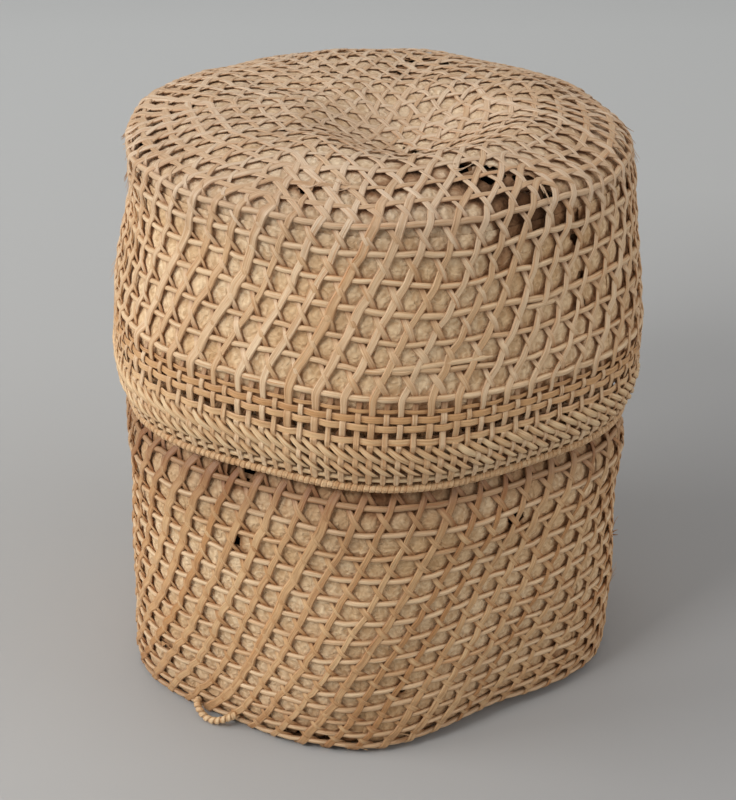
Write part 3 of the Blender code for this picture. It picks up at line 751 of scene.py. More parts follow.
class Weave:
    """One openwork layer of a body: its net's crossings, its strands and the stakes they end as."""

    def __init__(self, surface, rings, corners, hoops, first_ring, twist, depth, stakes_down, tears=(),
                 fineness=1.0):
        """corners has the azimuths of the net's corners in degrees. twist is (the whole net's turn in
        corners, each wall row's turn in cells, then a local drift's middle and reach in corners, its turn
        per row in cells and the row that it leaves in place)."""
        self.surface, self.rings, self.depth, self.tears = surface, rings, depth, tears
        self.corners = (*corners, corners[0] + 360.0)
        self.hand = -1.0 if surface.side > 0 else 1.0
        self.cells, triangles = make_net(rings, len(hoops))
        self.strands = trace_strands(triangles)
        hoop_arcs = [float(surface.arc_at(height)) for height in hoops]
        curve = (hoop_arcs[0] - first_ring * (rings + 0.5)) / (rings + 0.5) ** 2
        marks = [step / 4 for step in range(4 * rings + 1)]
        arcs = [first_ring * mark + curve * mark * mark for mark in marks]
        for number, arc in enumerate(hoop_arcs):
            marks.append(rings + number + 0.5)
            arcs.append(arc)
            if number + 1 < len(hoop_arcs):
                marks.append(rings + number + 1.0)
                arcs.append(mix(arc, hoop_arcs[number + 1], 0.5))
        self.marks, self.arcs = np.array(marks), np.array(arcs)
        self.stakes_down, self.twist = stakes_down, twist
        self.find_crossings(fineness)
        self.ends = []

    def find_crossings(self, fineness):
        """Place of every edge's crossing, with a little unevenness that its two strands share."""
        ring, turn = np.array(self.cells).T
        angle = turn * math.pi / 3
        flat_cells = np.stack([ring * np.cos(angle), ring * np.sin(angle)], axis=1)
        edges = sorted({edge for path, _ in self.strands for edge, _ in path})
        ends = np.array(edges)
        middle = (flat_cells[ends[:, 0]] + flat_cells[ends[:, 1]]) / 2
        radial = middle / np.maximum(np.linalg.norm(middle, axis=1), 1e-6)[:, None]
        aside = np.stack([-radial[:, 1], radial[:, 0]], axis=1)
        loose = chance.normal(0.0, 1.0, (len(edges), 2)) * fineness
        middle = middle + radial * loose[:, :1] * PLAY_ALONG + aside * loose[:, 1:] * PLAY_ASIDE
        self.ring = np.linalg.norm(middle, axis=1)
        self.turn = self.twisted(self.ring, np.arctan2(middle[:, 1], middle[:, 0]) / (math.pi / 3))
        self.level = np.abs(ring[ends[:, 0]] - ring[ends[:, 1]]) < 1e-6
        self.row = (ring[ends[:, 0]] + ring[ends[:, 1]]) / 2
        self.index = {edge: number for number, edge in enumerate(edges)}
        self.arc, self.azimuth = self.lay(self.ring, self.turn)
        middles = self.lay(ring, self.twisted(ring, turn))
        places = self.surface.place(*middles, LEAF_DEPTH)
        self.middles = KDTree(len(places))
        for number, place in enumerate(places):
            self.middles.insert(place, number)
        self.middles.balance()

    def twisted(self, ring, turn):
        spin, per_row, middle, reach, drift, still_row = self.twist
        turn, rows = turn + spin, np.maximum(ring - self.rings, 0.0)
        apart = (turn - middle + 3) % 6 - 3
        local = drift * np.exp(-(apart / reach) ** 2) * (rows - still_row) * smoothstep(ring / self.rings)
        return (turn + (per_row * rows + local) / self.rings) % 6

    def lay(self, ring, turn):
        """Arc length and azimuth of places in the net."""
        azimuth = np.radians(np.interp(turn % 6, np.arange(7), self.corners))
        return self.surface.wander(np.interp(ring, self.marks, self.arcs), azimuth)

    def swelling(self, arc, azimuth):
        """How far the lining swells out at places on the surface, most in the middle of a cell."""
        places = self.surface.place(arc, azimuth, LEAF_DEPTH)
        apart = np.array([self.middles.find(place)[2] for place in places])
        return SWELLING * np.clip(1 - (apart * self.rings / SWELLING_RADIUS) ** 2, 0.0, 1.0)

    def hands(self, numbers, closed):
        """1 where a strand runs like a slash seen from outside, and -1 where it runs the other way."""
        ring, turn = self.ring[numbers], self.turn[numbers]
        turn_step = (np.roll(turn, -1) - np.roll(turn, 1) + 3) % 6 - 3
        ring_step = np.roll(ring, -1) - np.roll(ring, 1)
        if not closed:
            turn_step[0], ring_step[0] = (turn[1] - turn[0] + 3) % 6 - 3, ring[1] - ring[0]
            turn_step[-1], ring_step[-1] = (turn[-1] - turn[-2] + 3) % 6 - 3, ring[-1] - ring[-2]
        return np.sign(turn_step * ring_step) * self.hand

    def numbers(self, path):
        return np.array([self.index[edge] for edge, _ in path])

    def on_hoop(self, numbers):
        return (self.row[numbers] > self.rings + HOOP_START) & ~self.level[numbers]

    def over_sign(self):
        """Which of the two traced signs means over, so that slashes pass over the hoops."""
        for path, closed in self.strands:
            if closed:
                continue
            numbers = self.numbers(path)
            for (_, sign), hand, hooped in zip(path, self.hands(numbers, False), self.on_hoop(numbers)):
                if hooped:
                    return sign * hand
        return 1.0


# Sizes of one woven layer's strands, as half breadths, and how far they lie above and below its middle
# where they cross on the cap, at a hoop and between two hoops
Look = namedtuple("Look", "cap slash backslash hoop at_cap at_hoop between hoop_lift samples")


def strand_tone():
    return float(np.clip(chance.beta(1.0, 1.2), 0.02, 0.98))


def weave_guides(weave, look):
    """Guides of the three families of long strands, and of the hoops."""
    families, hoops = [Guides(), Guides(), Guides()], Guides()
    over = weave.over_sign()
    opened = 0
    for path, closed in weave.strands:
        numbers = weave.numbers(path)
        signs = np.array([sign for _, sign in path]) * over
        arc, azimuth = weave.arc[numbers], weave.azimuth[numbers]
        depth = np.interp(arc, *weave.depth)
        tone = strand_tone()
        size = float(np.clip(chance.normal(1.0, HOOP_SPREAD if closed else STAKE_SPREAD), *SIZE_LIMITS))
        if closed:
            lift = np.where(signs > 0, look.hoop_lift, -HOOP_DIP * look.hoop_lift)
            breadth = np.interp(weave.surface.height_at(arc), (0.02, RIM_HEIGHT), look.hoop) * size
            rows = flat(arc, azimuth, lift, breadth, depth)
            hoops.add_line(weave.surface, spline(rows, True, look.samples), tone, True)
            continue
        wall = smoothstep((weave.row[numbers] - WALL_START * weave.rings) / (WALL_SPAN * weave.rings))
        between = [mix(cap, wall_lift, wall) for cap, wall_lift in zip(look.at_cap, look.between)]
        on_hoop = weave.on_hoop(numbers)
        over_lift, under_lift = (np.where(on_hoop, *pair) for pair in zip(look.at_hoop, between))
        lift = np.where(signs > 0, over_lift, -under_lift)
        right = np.sin(azimuth)
        slash = look.slash * (1 - SLASH_LESS * right)
        backslash = look.backslash * (1 + BACKSLASH_MORE * right)
        slanted = np.where(weave.hands(numbers, False) > 0, slash, backslash)
        breadth = mix(look.cap, slanted, wall) * size * chance.normal(1.0, ALONG_SPREAD, len(numbers))
        rows = flat(arc, azimuth, lift, breadth, depth)
        for end in (0, -1):
            turn = math.atan2(rows[end][0], -rows[end][1])
            stake = weave.stakes_down(turn, signs[end], rows[end][3])
            weave.ends.append((turn, float(signs[end])))
            rows = np.concatenate([rows, stake] if end else [stake[::-1], rows])
        families[opened % 3].add_line(weave.surface, spline(rows, False, look.samples), tone)
        opened += 1
    return families, hoops


# A stake below the lid's hoops: lift at the belt's strips, heights of its two ends behind the rim, lifts
# from the foot rod on, and half breadths as a share of the strand's, at least, and at the ends
STAKE_LIFT, STAKE_ENDS, STAKE_END_LIFTS = 0.00060, (0.1640, 0.1612), (0.00120, 0.0006, -0.0008)
STAKE_SHARE, STAKE_LEAST, STAKE_END_BREADTH = 0.85, 0.00135, 0.0010

# A stake above the basket's top hoop, and its half breadth as a share of the strand's
MOUTH_STAKE_HEIGHTS, MOUTH_STAKE_SHARE = (0.2890, 0.2907, 0.2916), 0.8


def lid_stake(azimuth, side, breadth):
    """Rows from the lowest hoop down through the belt, the slanted strands and the foot rod."""
    heights = [*BELT_STRIPS, *SLANT_HEIGHTS, FOOT_ROD_HEIGHT, *STAKE_ENDS]
    lifts = [STAKE_LIFT * side * way for way in (1, -1, 1, -1)]
    lifts += [*(-lift for lift in SLANT_LIFTS), *STAKE_END_LIFTS]
    arcs = [lid.arc_at(height) for height in heights]
    widths = np.full(len(arcs), max(breadth * STAKE_SHARE, STAKE_LEAST))
    widths[-2:] = STAKE_END_BREADTH
    return flat(arcs, np.full(len(arcs), azimuth), lifts, widths, WEAVE_DEPTH)


def basket_stake(azimuth, side, breadth):
    """Rows from the top hoop up into the mouth's binding."""
    arcs = [basket.arc_at(height) for height in MOUTH_STAKE_HEIGHTS]
    lifts = [-0.0004 * side, -0.0006, -0.0012]
    return flat(arcs, [azimuth] * 3, lifts, [breadth * MOUTH_STAKE_SHARE] * 3, WEAVE_DEPTH)


# A slanted strand starts under the lowest strip and is under, over, under and over the next stakes
SLANT_TOP, SLANT_FOOT, SLANT_REACH = 0.1893, 0.1689, 4.15
SLANT_HEIGHTS = [mix(SLANT_TOP, SLANT_FOOT, (crossing + 0.5) / SLANT_REACH) for crossing in range(4)]
SLANT_LIFTS = [-0.00090, 0.00090, -0.00070, 0.00060]

# Tears in the lining, as azimuth in degrees, arc length, radius and how much taller than broad
LID_TEARS = [
    (-97.5, 0.1362, 0.0050, 1.0), (-73.5, 0.1242, 0.0045, 1.0), (-49.5, 0.0626, 0.0035, 1.0),
    (165.0, 0.0578, 0.0045, 1.0), (163.5, 0.0786, 0.0045, 1.0), (153.5, 0.0802, 0.0055, 1.0),
    (115.5, 0.0986, 0.0042, 1.0), (34.5, 0.0306, 0.0050, 1.0), (26.0, 0.1002, 0.0042, 1.0),
    (31.0, 0.1098, 0.0052, 1.0), (37.5, 0.1202, 0.0048, 1.0), (42.0, 0.1306, 0.0048, 1.0),
    (47.0, 0.1530, 0.0028, 2.6), (49.5, 0.1658, 0.0018, 2.4), (49.0, 0.1786, 0.0018, 2.4),
    (48.5, 0.1922, 0.0018, 2.4), (47.5, 0.2034, 0.0018, 1.8), (-17.5, 0.1146, 0.0030, 1.0),
]
BASKET_TEARS = [
    (-29.5, 0.2920, 0.0046, 1.4), (-32.5, 0.2928, 0.0040, 1.2), (-18.0, 0.1432, 0.0046, 0.8),
    (-15.0, 0.1400, 0.0050, 0.8), (-8.5, 0.1408, 0.0050, 0.8), (-4.0, 0.1352, 0.0046, 0.8),
    (-54.5, 0.1680, 0.0030, 1.0), (76.0, 0.2072, 0.0035, 1.5), (34.0, 0.2648, 0.0035, 1.3),
    (-31.5, 0.2520, 0.0030, 1.0), (7.0, 0.1752, 0.0028, 1.0),
]

# Painted shade on the lining where it has sunk away from the weave, as azimuth in degrees, arc length, radius
# and depth
LID_SHADES = [
    (24.0, 0.1130, 0.012, 1.0), (32.0, 0.1230, 0.014, 1.0), (31.0, 0.1380, 0.012, 1.0),
    (37.0, 0.1440, 0.009, 0.9), (25.0, 0.1560, 0.007, 0.9), (40.0, 0.1310, 0.011, 1.0),
    (46.0, 0.1500, 0.009, 0.9), (2.0, 0.1100, 0.008, 0.8), (-1.0, 0.1250, 0.007, 0.7),
    (11.0, 0.0980, 0.011, 0.8), (160.0, 0.0780, 0.013, 0.9), (165.0, 0.0580, 0.009, 0.8),
    (115.5, 0.0986, 0.009, 0.9), (75.0, 0.0900, 0.009, 0.7), (60.0, 0.1120, 0.009, 0.7),
    (-73.5, 0.1242, 0.009, 0.8), (-97.5, 0.1362, 0.010, 0.9), (-49.5, 0.0640, 0.007, 0.7),
    (47.5, 0.1920, 0.007, 0.7), (-18.0, 0.1146, 0.006, 0.8),
]
BASKET_SHADES = [
    (-31.0, 0.2920, 0.009, 1.0), (-16.0, 0.1420, 0.012, 0.8), (-6.0, 0.1400, 0.010, 0.8),
    (2.0, 0.2900, 0.012, 0.7), (-54.0, 0.1690, 0.008, 0.7), (76.0, 0.2072, 0.009, 0.7),
    (34.0, 0.2648, 0.007, 0.7), (52.0, 0.1600, 0.009, 0.6), (-31.5, 0.2520, 0.007, 0.8),
    (7.0, 0.1752, 0.006, 0.6), (14.0, 0.1480, 0.010, 0.6), (64.0, 0.1500, 0.010, 0.6),
]

# Arc length of each cap's first ring, and those between which the basket's weave comes up from the floor's
LID_FIRST_RING, BASKET_FIRST_RING, FLOOR_EDGE = 0.0107, 0.0121, (0.118, 0.136)

lid_hoop_heights = list(np.linspace(TOP_LID_ROW, FIRST_LID_ROW, LID_ROWS))
lid_depths = ([0.0, 1.0], [WEAVE_DEPTH] * 2)
basket_depths = ([0.0, *FLOOR_EDGE, 1.0], [FLOOR_WEAVE_DEPTH] * 2 + [WEAVE_DEPTH] * 2)
lid_twist, basket_twist = (0.5, 0.04, 3.5, 0.4, -0.12, 3.5), (0.0, -0.11, 1.9, 0.6, 0.06, 6.0)
lid_weave = Weave(
    lid, LID_CELLS_PER_FACE, LID_NET, lid_hoop_heights, LID_FIRST_RING, lid_twist, lid_depths, lid_stake,
    LID_TEARS,
)
basket_weave = Weave(
    basket, BASKET_CELLS_PER_FACE, BASKET_NET, basket_row_heights(), BASKET_FIRST_RING, basket_twist,
    basket_depths, basket_stake, BASKET_TEARS,
)

AT_CAP, AT_HOOP, BETWEEN, HOOP_LIFT = (0.00030, 0.00025), (0.00125, 0.00125), (0.00085, -0.00020), 0.00025
lifts = (AT_CAP, AT_HOOP, BETWEEN, HOOP_LIFT, 4)
lid_families, lid_hoop_guides = weave_guides(
    lid_weave, Look(0.00145, 0.00195, 0.00150, (0.00160, 0.00160), *lifts)
)
basket_families, basket_hoop_guides = weave_guides(
    basket_weave, Look(0.00140, 0.00192, 0.00135, (0.00130, 0.00160), *lifts)
)

for body, families, material, thinness in (
    ("lid", lid_families, lid_cane, 0.32), ("basket", basket_families, basket_cane, 0.30),
):
    for number, guides in enumerate(families, 1):
        nodes = [body + "_outer_stakes"] if number == 1 else []
        swept(f"{body}_strands_{number}", guides, material, body, nodes, 6, thinness, 0.5)
for body, guides, count, thinness in (
    ("lid", lid_hoop_guides, LID_ROWS, 0.88), ("basket", basket_hoop_guides, BASKET_ROWS, 0.85),
):
    nodes = [f"{body}_weft_{number:02d}" for number in range(1, count + 1)]
    swept(body + "_hoops", guides, rod_cane, body, nodes, 8, thinness, 1.0)


# The belt of the lid, whose strips have these half breadths from the top down

STRIP_BREADTHS, STRIP_PLAY, STRIP_LIFT = (0.00105, 0.00185, 0.00185, 0.00185), 0.00018, 0.00055

# Steps along a slanted strand in stakes, its half breadth at each, and its lift at its start
SLANT_STEPS = np.array((0.0, 0.5, 1.0, 1.5, 2.0, 2.5, 3.0, 3.5, SLANT_REACH - 0.25, SLANT_REACH))
SLANT_BREADTHS = np.array(
    (0.0006, 0.0014, 0.00165, 0.00175, 0.0017, 0.0016, 0.0016, 0.0015, 0.0010, 0.0003)
)
SLANT_START_LIFT, SLANT_PLAY, SLANT_SPREAD = -0.0012, 0.0003, 0.08


def belt_pieces():
    azimuths, sides = np.array(sorted(lid_weave.ends)).T
    count = len(azimuths)
    strips = Guides()
    for number, (height, breadth) in enumerate(zip(BELT_STRIPS, STRIP_BREADTHS)):
        arc = np.full(count, lid.arc_at(height)) + chance.normal(0, STRIP_PLAY, count)
        rows = flat(arc, azimuths, -STRIP_LIFT * sides * (-1) ** number, breadth, WEAVE_DEPTH)
        strips.add_line(lid, spline(rows, True, 4), strand_tone(), True)
    nodes = [f"lid_belt_strip_{number:02d}" for number in range(1, 5)]
    swept("belt_strips", strips, belt_cane, "lid", nodes, 6, 0.26, 0.5)

    slanted = Guides()
    lift_steps, lifts = (0.0, 0.5, 1.5, 2.5, 3.5, SLANT_REACH), (SLANT_START_LIFT, *SLANT_LIFTS, 0.0)
    steps_lift = np.interp(SLANT_STEPS, lift_steps, lifts)
    for number in range(count):
        turns = number + SLANT_STEPS - 0.5
        whole = np.floor(turns).astype(int)
        before, after = azimuths[whole % count], azimuths[(whole + 1) % count]
        path = before + ((after - before) % (2 * math.pi)) * (turns - whole)
        heights = mix(SLANT_TOP, SLANT_FOOT, SLANT_STEPS / SLANT_REACH) + chance.normal(0, SLANT_PLAY)
        breadth = SLANT_BREADTHS * chance.normal(1.0, SLANT_SPREAD)
        rows = flat(lid.arc_at(heights), path, steps_lift, breadth, WEAVE_DEPTH)
        slanted.add_line(lid, spline(rows, False, 2), 0.6 * strand_tone())
    swept("slanted_strands", slanted, pale_cane, "lid", ["lid_slanted_border"], 6, 0.7, 0.8)

    rod = Guides()
    rows = flat(np.full(count, lid.arc_at(FOOT_ROD_HEIGHT)), azimuths, 0.0, 0.00160, WEAVE_DEPTH)
    rod.add_line(lid, spline(rows, True, 3), 0.2, True)
    swept("lid_foot_rod", rod, pale_cane, "lid", ["lid_foot_weft_01"], 8, 0.9, 1.0)


belt_pieces()


# Spliced rods of the lid, as hoop, first and last azimuth in degrees, drop above the hoop and rise along
SPLICES = ((5, -1.0, 23.5, 0.0008, 0.0036), (3, 31.0, 40.0, -0.0034, 0.0))


def extra_rods():
    """Where a hoop of the lid is spliced, a second rod runs over it and tapers off at both ends."""
    rods = Guides()
    for row, first, last, drop, rise in SPLICES:
        share = np.linspace(0.0, 1.0, 24)
        arc = lid.arc_at(lid_hoop_heights[row]) - drop - rise * share
        azimuth = np.radians(mix(first, last, share))
        arc, azimuth = lid.wander(arc, azimuth)
        taper = np.clip(np.minimum(share, 1 - share) * 12, 0.35, 1.0)
        rods.add_line(lid, flat(arc, azimuth, 0.00020, 0.00145 * taper, WEAVE_DEPTH), 0.3)
    swept("spliced_rods", rods, rod_cane, "lid", (), 8, 0.88, 1.0)


extra_rods()


# Split ends that stand off the worn edges, as body, azimuth in degrees, arc length and heading
SPLIT_ENDS = [
    ("lid", -96.0, 0.1370, 40.0), ("lid", -92.0, 0.1400, 75.0), ("lid", -88.0, 0.1440, -30.0),
    ("lid", -74.0, 0.1480, 20.0), ("lid", -79.0, 0.1500, 60.0), ("lid", 96.0, 0.1360, -50.0),
    ("lid", 90.0, 0.1410, 10.0), ("lid", -17.0, 0.1140, 100.0), ("lid", -6.0, 0.1095, -80.0),
    ("lid", 22.0, 0.1010, 70.0), ("lid", 40.0, 0.1260, -20.0), ("lid", -92.0, 0.2150, 15.0),
    ("basket", -54.0, 0.1690, 65.0), ("basket", 78.0, 0.2080, -30.0), ("basket", 74.0, 0.1800, 40.0),
    ("basket", -5.0, 0.1400, 80.0), ("basket", 10.0, 0.1400, -60.0),
]

# Three fibres make a tuft: how far apart they point in degrees, the spread of that, the first one's length
# and what each next one is longer by and starts further along, and the radius that turns width to azimuth
TUFT_ANGLE, TUFT_SPREAD, TUFT_RADIUS = 16, 6, 0.135
FIBRE_LENGTH, FIBRE_LONGER, FIBRE_STEP = 0.008, 0.002, 0.0012

# A fibre's lift at its root, how much further its tip curls away, and the half breadth that it tapers from
FIBRE_LIFT, FIBRE_CURL, FIBRE_BREADTH = 0.0010, 0.0030, 0.00055


def loose_fibres():
    fibres = {"lid": Guides(), "basket": Guides()}
    for body, turn, start, heading in SPLIT_ENDS:
        for strand in range(3):
            way = math.radians(heading + TUFT_ANGLE * (strand - 1) + chance.normal(0, TUFT_SPREAD))
            run = np.linspace(0.0, 1.0, 9) * (FIBRE_LENGTH + FIBRE_LONGER * strand)
            share = run / run[-1]
            arc = start + FIBRE_STEP * strand + run * math.cos(way)
            azimuth = math.radians(turn) + run * math.sin(way) / TUFT_RADIUS
            lift, breadth = FIBRE_LIFT + FIBRE_CURL * share**2, FIBRE_BREADTH * (1 - 0.7 * run / run[-1])
            rows = flat(arc, azimuth, lift, breadth, WEAVE_DEPTH)
            fibres[body].add_line({"lid": lid, "basket": basket}[body], rows, strand_tone())
    for body, material in (("lid", lid_cane), ("basket", basket_cane)):
        swept(body + "_split_ends", fibres[body], material, body, (), 6, 0.5, 0.8)


loose_fibres()


# Bound rims

# Samples to one turn of the wrapping and round the hoop, the wrapping's pitch and the radius it runs at,
# and the spread of that radius
PER_TURN, HOOP_SAMPLES, PITCH, WRAP_RADIUS, WRAP_PLAY = 10, 240, 0.0030, 0.0016, 0.00007


def bound_rim(name, body, radius, height, settle):
    """A hoop, and a split wound round it edge to edge."""
    turns = round(2 * math.pi * radius / PITCH)
    count = turns * PER_TURN
    step = np.arange(count)
    azimuth = 2 * math.pi * step / count
    roll = 2 * math.pi * step / PER_TURN
    out = WRAP_RADIUS + np.repeat(chance.normal(0.0, WRAP_PLAY, turns), PER_TURN)
    places = turned(azimuth, radius + out * np.cos(roll), height + out * np.sin(roll), settle)
    normals = places - turned(azimuth, np.full(count, radius), np.full(count, height), settle)
    normals /= np.linalg.norm(normals, axis=1)[:, None]
    tone = np.repeat(np.clip(chance.normal(0.45, 0.18, turns), 0.02, 0.98), PER_TURN)
    wrap = Guides()
    wrap.add(places, normals, PITCH * 0.54, tone, True)
    swept(name + "_wrapping", wrap, wrap_cane, body, [name + "_binding"], 6, 0.45, 0.8)
    core = Guides()
    around = np.linspace(0, 2 * math.pi, HOOP_SAMPLES, endpoint=False)
    line = turned(around, np.full(HOOP_SAMPLES, radius), np.full(HOOP_SAMPLES, height), settle)
    core.add(line, np.tile([0.0, 0.0, 1.0], (HOOP_SAMPLES, 1)), WRAP_RADIUS - 0.0002, 0.5, True)
    swept(name + "_hoop", core, rod_cane, body, [name + "_core"], 8, 1.0, 1.0)


bound_rim("lid_rim", "lid", RIM_CENTRE_RADIUS, RIM_HEIGHT, settle_lid)
bound_rim("basket_mouth", "basket", MOUTH_CENTRE_RADIUS, MOUTH_HEIGHT, settle_basket)


# Leaf lining

# Size of the lining's grid, its thickness, and the least height of its outer face over the floor
LEAF_GRID, LEAF_THICKNESS, LOWEST_LEAF = 0.0022, 0.0004, 0.0012

# How strongly a place of painted shade counts against the swelling
SHADE_STRENGTH = 1.5
def leaf_mesh(name, weave, arcs, azimuths, depth, closed):
    """Grid over the surface at the given depths, with normals for its wrinkles."""
    surface = weave.surface
    rows, columns = len(arcs), azimuths.shape[1]
    arc = np.repeat(arcs, columns)
    azimuth = azimuths.reshape(-1)
    swollen = weave.swelling(arc, azimuth)
    depth = np.broadcast_to(depth, azimuths.shape).reshape(-1) - swollen
    places = surface.place(arc, azimuth, depth)
    places[:, 2] = np.maximum(places[:, 2], LOWEST_LEAF)
    swollen = swollen / SWELLING
    # Listed places of painted shade lower the swelling that the leaf's colour reads; the sheet stays where it
    # is.
    for turn, at, radius, amount in LID_SHADES if surface is lid else BASKET_SHADES:
        away = places - surface.place(np.array([at]), np.radians([turn]), LEAF_DEPTH)
        swollen -= SHADE_STRENGTH * amount * np.exp(-((np.linalg.norm(away, axis=1) / radius) ** 2))
    swollen = swollen.tolist()
    normals = surface.outward(np.maximum(arc, 0.0005), azimuth, depth)
    whole = np.ones(len(places), bool)
    for number, (turn, at, radius, stretch) in enumerate(weave.tears):
        middle, scale = surface.place(np.array([at]), np.radians([turn]), LEAF_DEPTH), (1.0, 1.0, stretch)
        away = (places - middle) / scale
        apart = np.linalg.norm(away, axis=1)
        angle = np.arctan2(away[:, 2] - away[:, 1], away[:, 0])
        edge = radius * (1.25 + 0.25 * np.sin(3 * angle + number) + 0.15 * np.sin(5 * angle - 2 * number))
        torn = apart < edge
        places[torn] = middle + (away / apart[:, None] * edge[:, None] * scale)[torn]
        whole &= ~torn
    faces = []
    span = columns if closed else columns - 1
    for row in range(rows - 1):
        for column in range(span):
            after = (column + 1) % columns
            a, b = row * columns + column, row * columns + after
            corners = (a, a + columns, b + columns, b)
            if whole[list(corners)].any():
                faces.append(corners if surface.side > 0 else corners[::-1])
    places, normals = places.tolist(), normals.tolist()
    if closed:
        middle = surface.place(np.zeros(1), np.zeros(1), np.ravel(depth)[:1])[0]
        places.append(middle.tolist())
        normals.append([0.0, 0.0, surface.side])
        swollen.append(1.0)
        pole = len(places) - 1
        for column in range(columns):
            after = (column + 1) % columns
            faces.append((pole, column, after) if surface.side > 0 else (pole, after, column))
    mesh = bpy.data.meshes.new(name)
    mesh.from_pydata(places, [], faces)
    outward = mesh.attributes.new("outward", "FLOAT_VECTOR", "POINT")
    outward.data.foreach_set("vector", np.array(normals, np.float32).ravel())
    mesh.attributes.new("swollen", "FLOAT", "POINT").data.foreach_set("value", np.array(swollen, np.float32))
    return mesh


def make_crinkle():
    """Pushes a sheet in and out along its normals by two sizes of wrinkles."""
    sizes = [f"{wrinkle} {what}" for wrinkle in ("Fine", "Broad") for what in ("Size", "Depth")]
    tree = Tree("leaf_crinkle", {title: "Float" for title in (*sizes, "Seed")})
    entry = tree.entry.outputs
    place = tree.node("GeometryNodeInputPosition")[0]
    total = None
    for title in ("Fine", "Broad"):
        size = tree.maths("DIVIDE", 1.0, entry[title + " Size"])
        values = {"Vector": place, "W": entry["Seed"], "Scale": size, "Detail": 2.0}
        noise = tree.node("ShaderNodeTexNoise", {"noise_dimensions": "4D"}, values)[0]
        moved = tree.maths("MULTIPLY", tree.maths("SUBTRACT", noise, 0.5), entry[title + " Depth"])
        total = moved if total is None else tree.maths("ADD", total, moved)
    outward = tree.attribute("outward", "FLOAT_VECTOR")
    offset = tree.node("ShaderNodeVectorMath", {"operation": "SCALE"}, {0: outward, "Scale": total})[0]
    values = {"Geometry": entry["Geometry"], "Offset": offset}
    tree.finish(tree.node("GeometryNodeSetPosition", (), values)[0])
    return tree


crinkle = make_crinkle()


def leaf(name, mesh, body, nodes, seed):
    values = {"Fine Size": 0.0045, "Fine Depth": 0.0008, "Broad Size": 0.016, "Broad Depth": 0.0012}
    piece = apply_tree(name, mesh, crinkle, {**values, "Seed": seed, "Material": leaf_lining})
    piece.data.attributes.remove(piece.data.attributes["outward"])
    solid = piece.modifiers.new("thickness", "SOLIDIFY")
    solid.thickness, solid.offset = LEAF_THICKNESS, -1.0
    make_plain(piece)
    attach(piece, body)
    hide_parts(*nodes)


# How far a wall's leaf reaches past its face on both sides in degrees, and how far one edge lies deeper
LEAF_LAP, LEAF_SKEW = 2.2, 0.0005


def wall_leaves(weave, body, low, high, radius):
    """Six overlapping leaves round the wall, each with its left edge over its neighbour."""
    ends = sorted((float(weave.surface.arc_at(low)), float(weave.surface.arc_at(high))))
    arcs = np.linspace(*ends, max(2, round((ends[1] - ends[0]) / LEAF_GRID)) + 1)
    for number in range(6):
        start, end = 60.0 * number - LEAF_LAP, 60.0 * (number + 1) + LEAF_LAP
        columns = round(math.radians(end - start) * radius / LEAF_GRID)
        wobble = 1.2 * np.sin(arcs * 46 + number * 1.7) + 0.5 * np.sin(arcs * 130 + number)
        share = np.linspace(0.0, 1.0, columns + 1)[None, :]
        degrees = mix((start + wobble)[:, None], (end + wobble[::-1])[:, None], share)
        depth = LEAF_DEPTH - LEAF_SKEW / 2 + LEAF_SKEW * share
        mesh = leaf_mesh(body + "_leaf_lining_grid", weave, arcs, np.radians(degrees), depth, False)
        nodes = [f"{body}_wall_leaf_{number + 1}"]
        leaf(f"{body}_leaf_lining_{number + 1}", mesh, body, nodes, 3.1 * number + 0.4)


def cap_leaf(weave, body, cap, edge_height, middle_depth, seed):
    """The leaf over the closed end, whose edge tucks in under the leaves of the wall."""
    edge = float(weave.surface.arc_at(edge_height))
    rings = round(edge / LEAF_GRID)
    arcs = np.linspace(edge / rings, edge, rings)
    azimuths = np.broadcast_to(np.linspace(0, 2 * math.pi, 360, endpoint=False), (rings, 360))
    depth = np.interp(arcs, (edge - 0.05, edge - 0.02), (middle_depth, LEAF_DEPTH + 0.0009))[:, None]
    mesh = leaf_mesh(f"{body}_{cap}_lining_grid", weave, arcs, azimuths, depth, True)
    leaf(f"{body}_{cap}_lining", mesh, body, [f"{body}_{cap}_leaf"], seed)


# Each wall's lowest and highest edge and its radius, then its cap, that leaf's edge and depth and a seed
for body, weave, wall, *cap in (
    ("lid", lid_weave, (0.1995, 0.2895, 0.139), "crown", 0.2790, 0.0034, 20.3),
    ("basket", basket_weave, (0.0110, 0.2880, 0.136), "floor", 0.0125, 0.0044, 25.1),
):
    wall_leaves(weave, body, *wall)
    cap_leaf(weave, body, *cap)
# Inner weaves


def inner_stake(azimuth, side, breadth):
    return np.zeros((0, 5))


def inner_weave(body, surface, heights, first_ring):
    depths, straight = ([0.0, 1.0], [INNER_DEPTH] * 2), (0.0, 0.0, 0.0, 1.0, 0.0, 0.0)
    weave = Weave(
        surface, INNER_CELLS_PER_FACE, LID_NET, heights, first_ring, straight, depths, inner_stake, (), 0.8
    )
    even = (0.0004, 0.0004)
    families, hoops = weave_guides(
        weave, Look(0.0014, 0.0017, 0.0015, (0.0013, 0.0013), even, even, even, 0.0003, 2)
    )
    every = Guides()
    for guides in (*families, hoops):
        for piece in zip(guides.places, guides.outwards, guides.breadths, guides.tones):
            # Their level below the middle gives the inner strands more painted shade.
            every.add(*piece, guides is hoops, -0.5)
    nodes = [body + "_inner_weave"]
    swept(body + "_inner_strands", every, inner_cane, body, nodes, 6, 0.3, 0.6)


inner_weave("lid", lid, list(np.linspace(0.2945, 0.1710, 8)), 0.012)
inner_weave("basket", basket, list(np.linspace(0.0060, 0.2860, 18)), 0.0135)


# Wrapped loop at the foot: its middle and half span in degrees, the radius and height of its ends, how far
# it bows out and down, and the pitch and samples of its wrapping

LOOP_MIDDLE, LOOP_SPAN, LOOP_RADIUS, LOOP_HEIGHT = -38.0, 5.5, 0.13693, 0.00748
LOOP_BOW, LOOP_DROP, LOOP_PITCH, LOOP_SAMPLES = 0.0071, 0.00458, 0.0030, 12


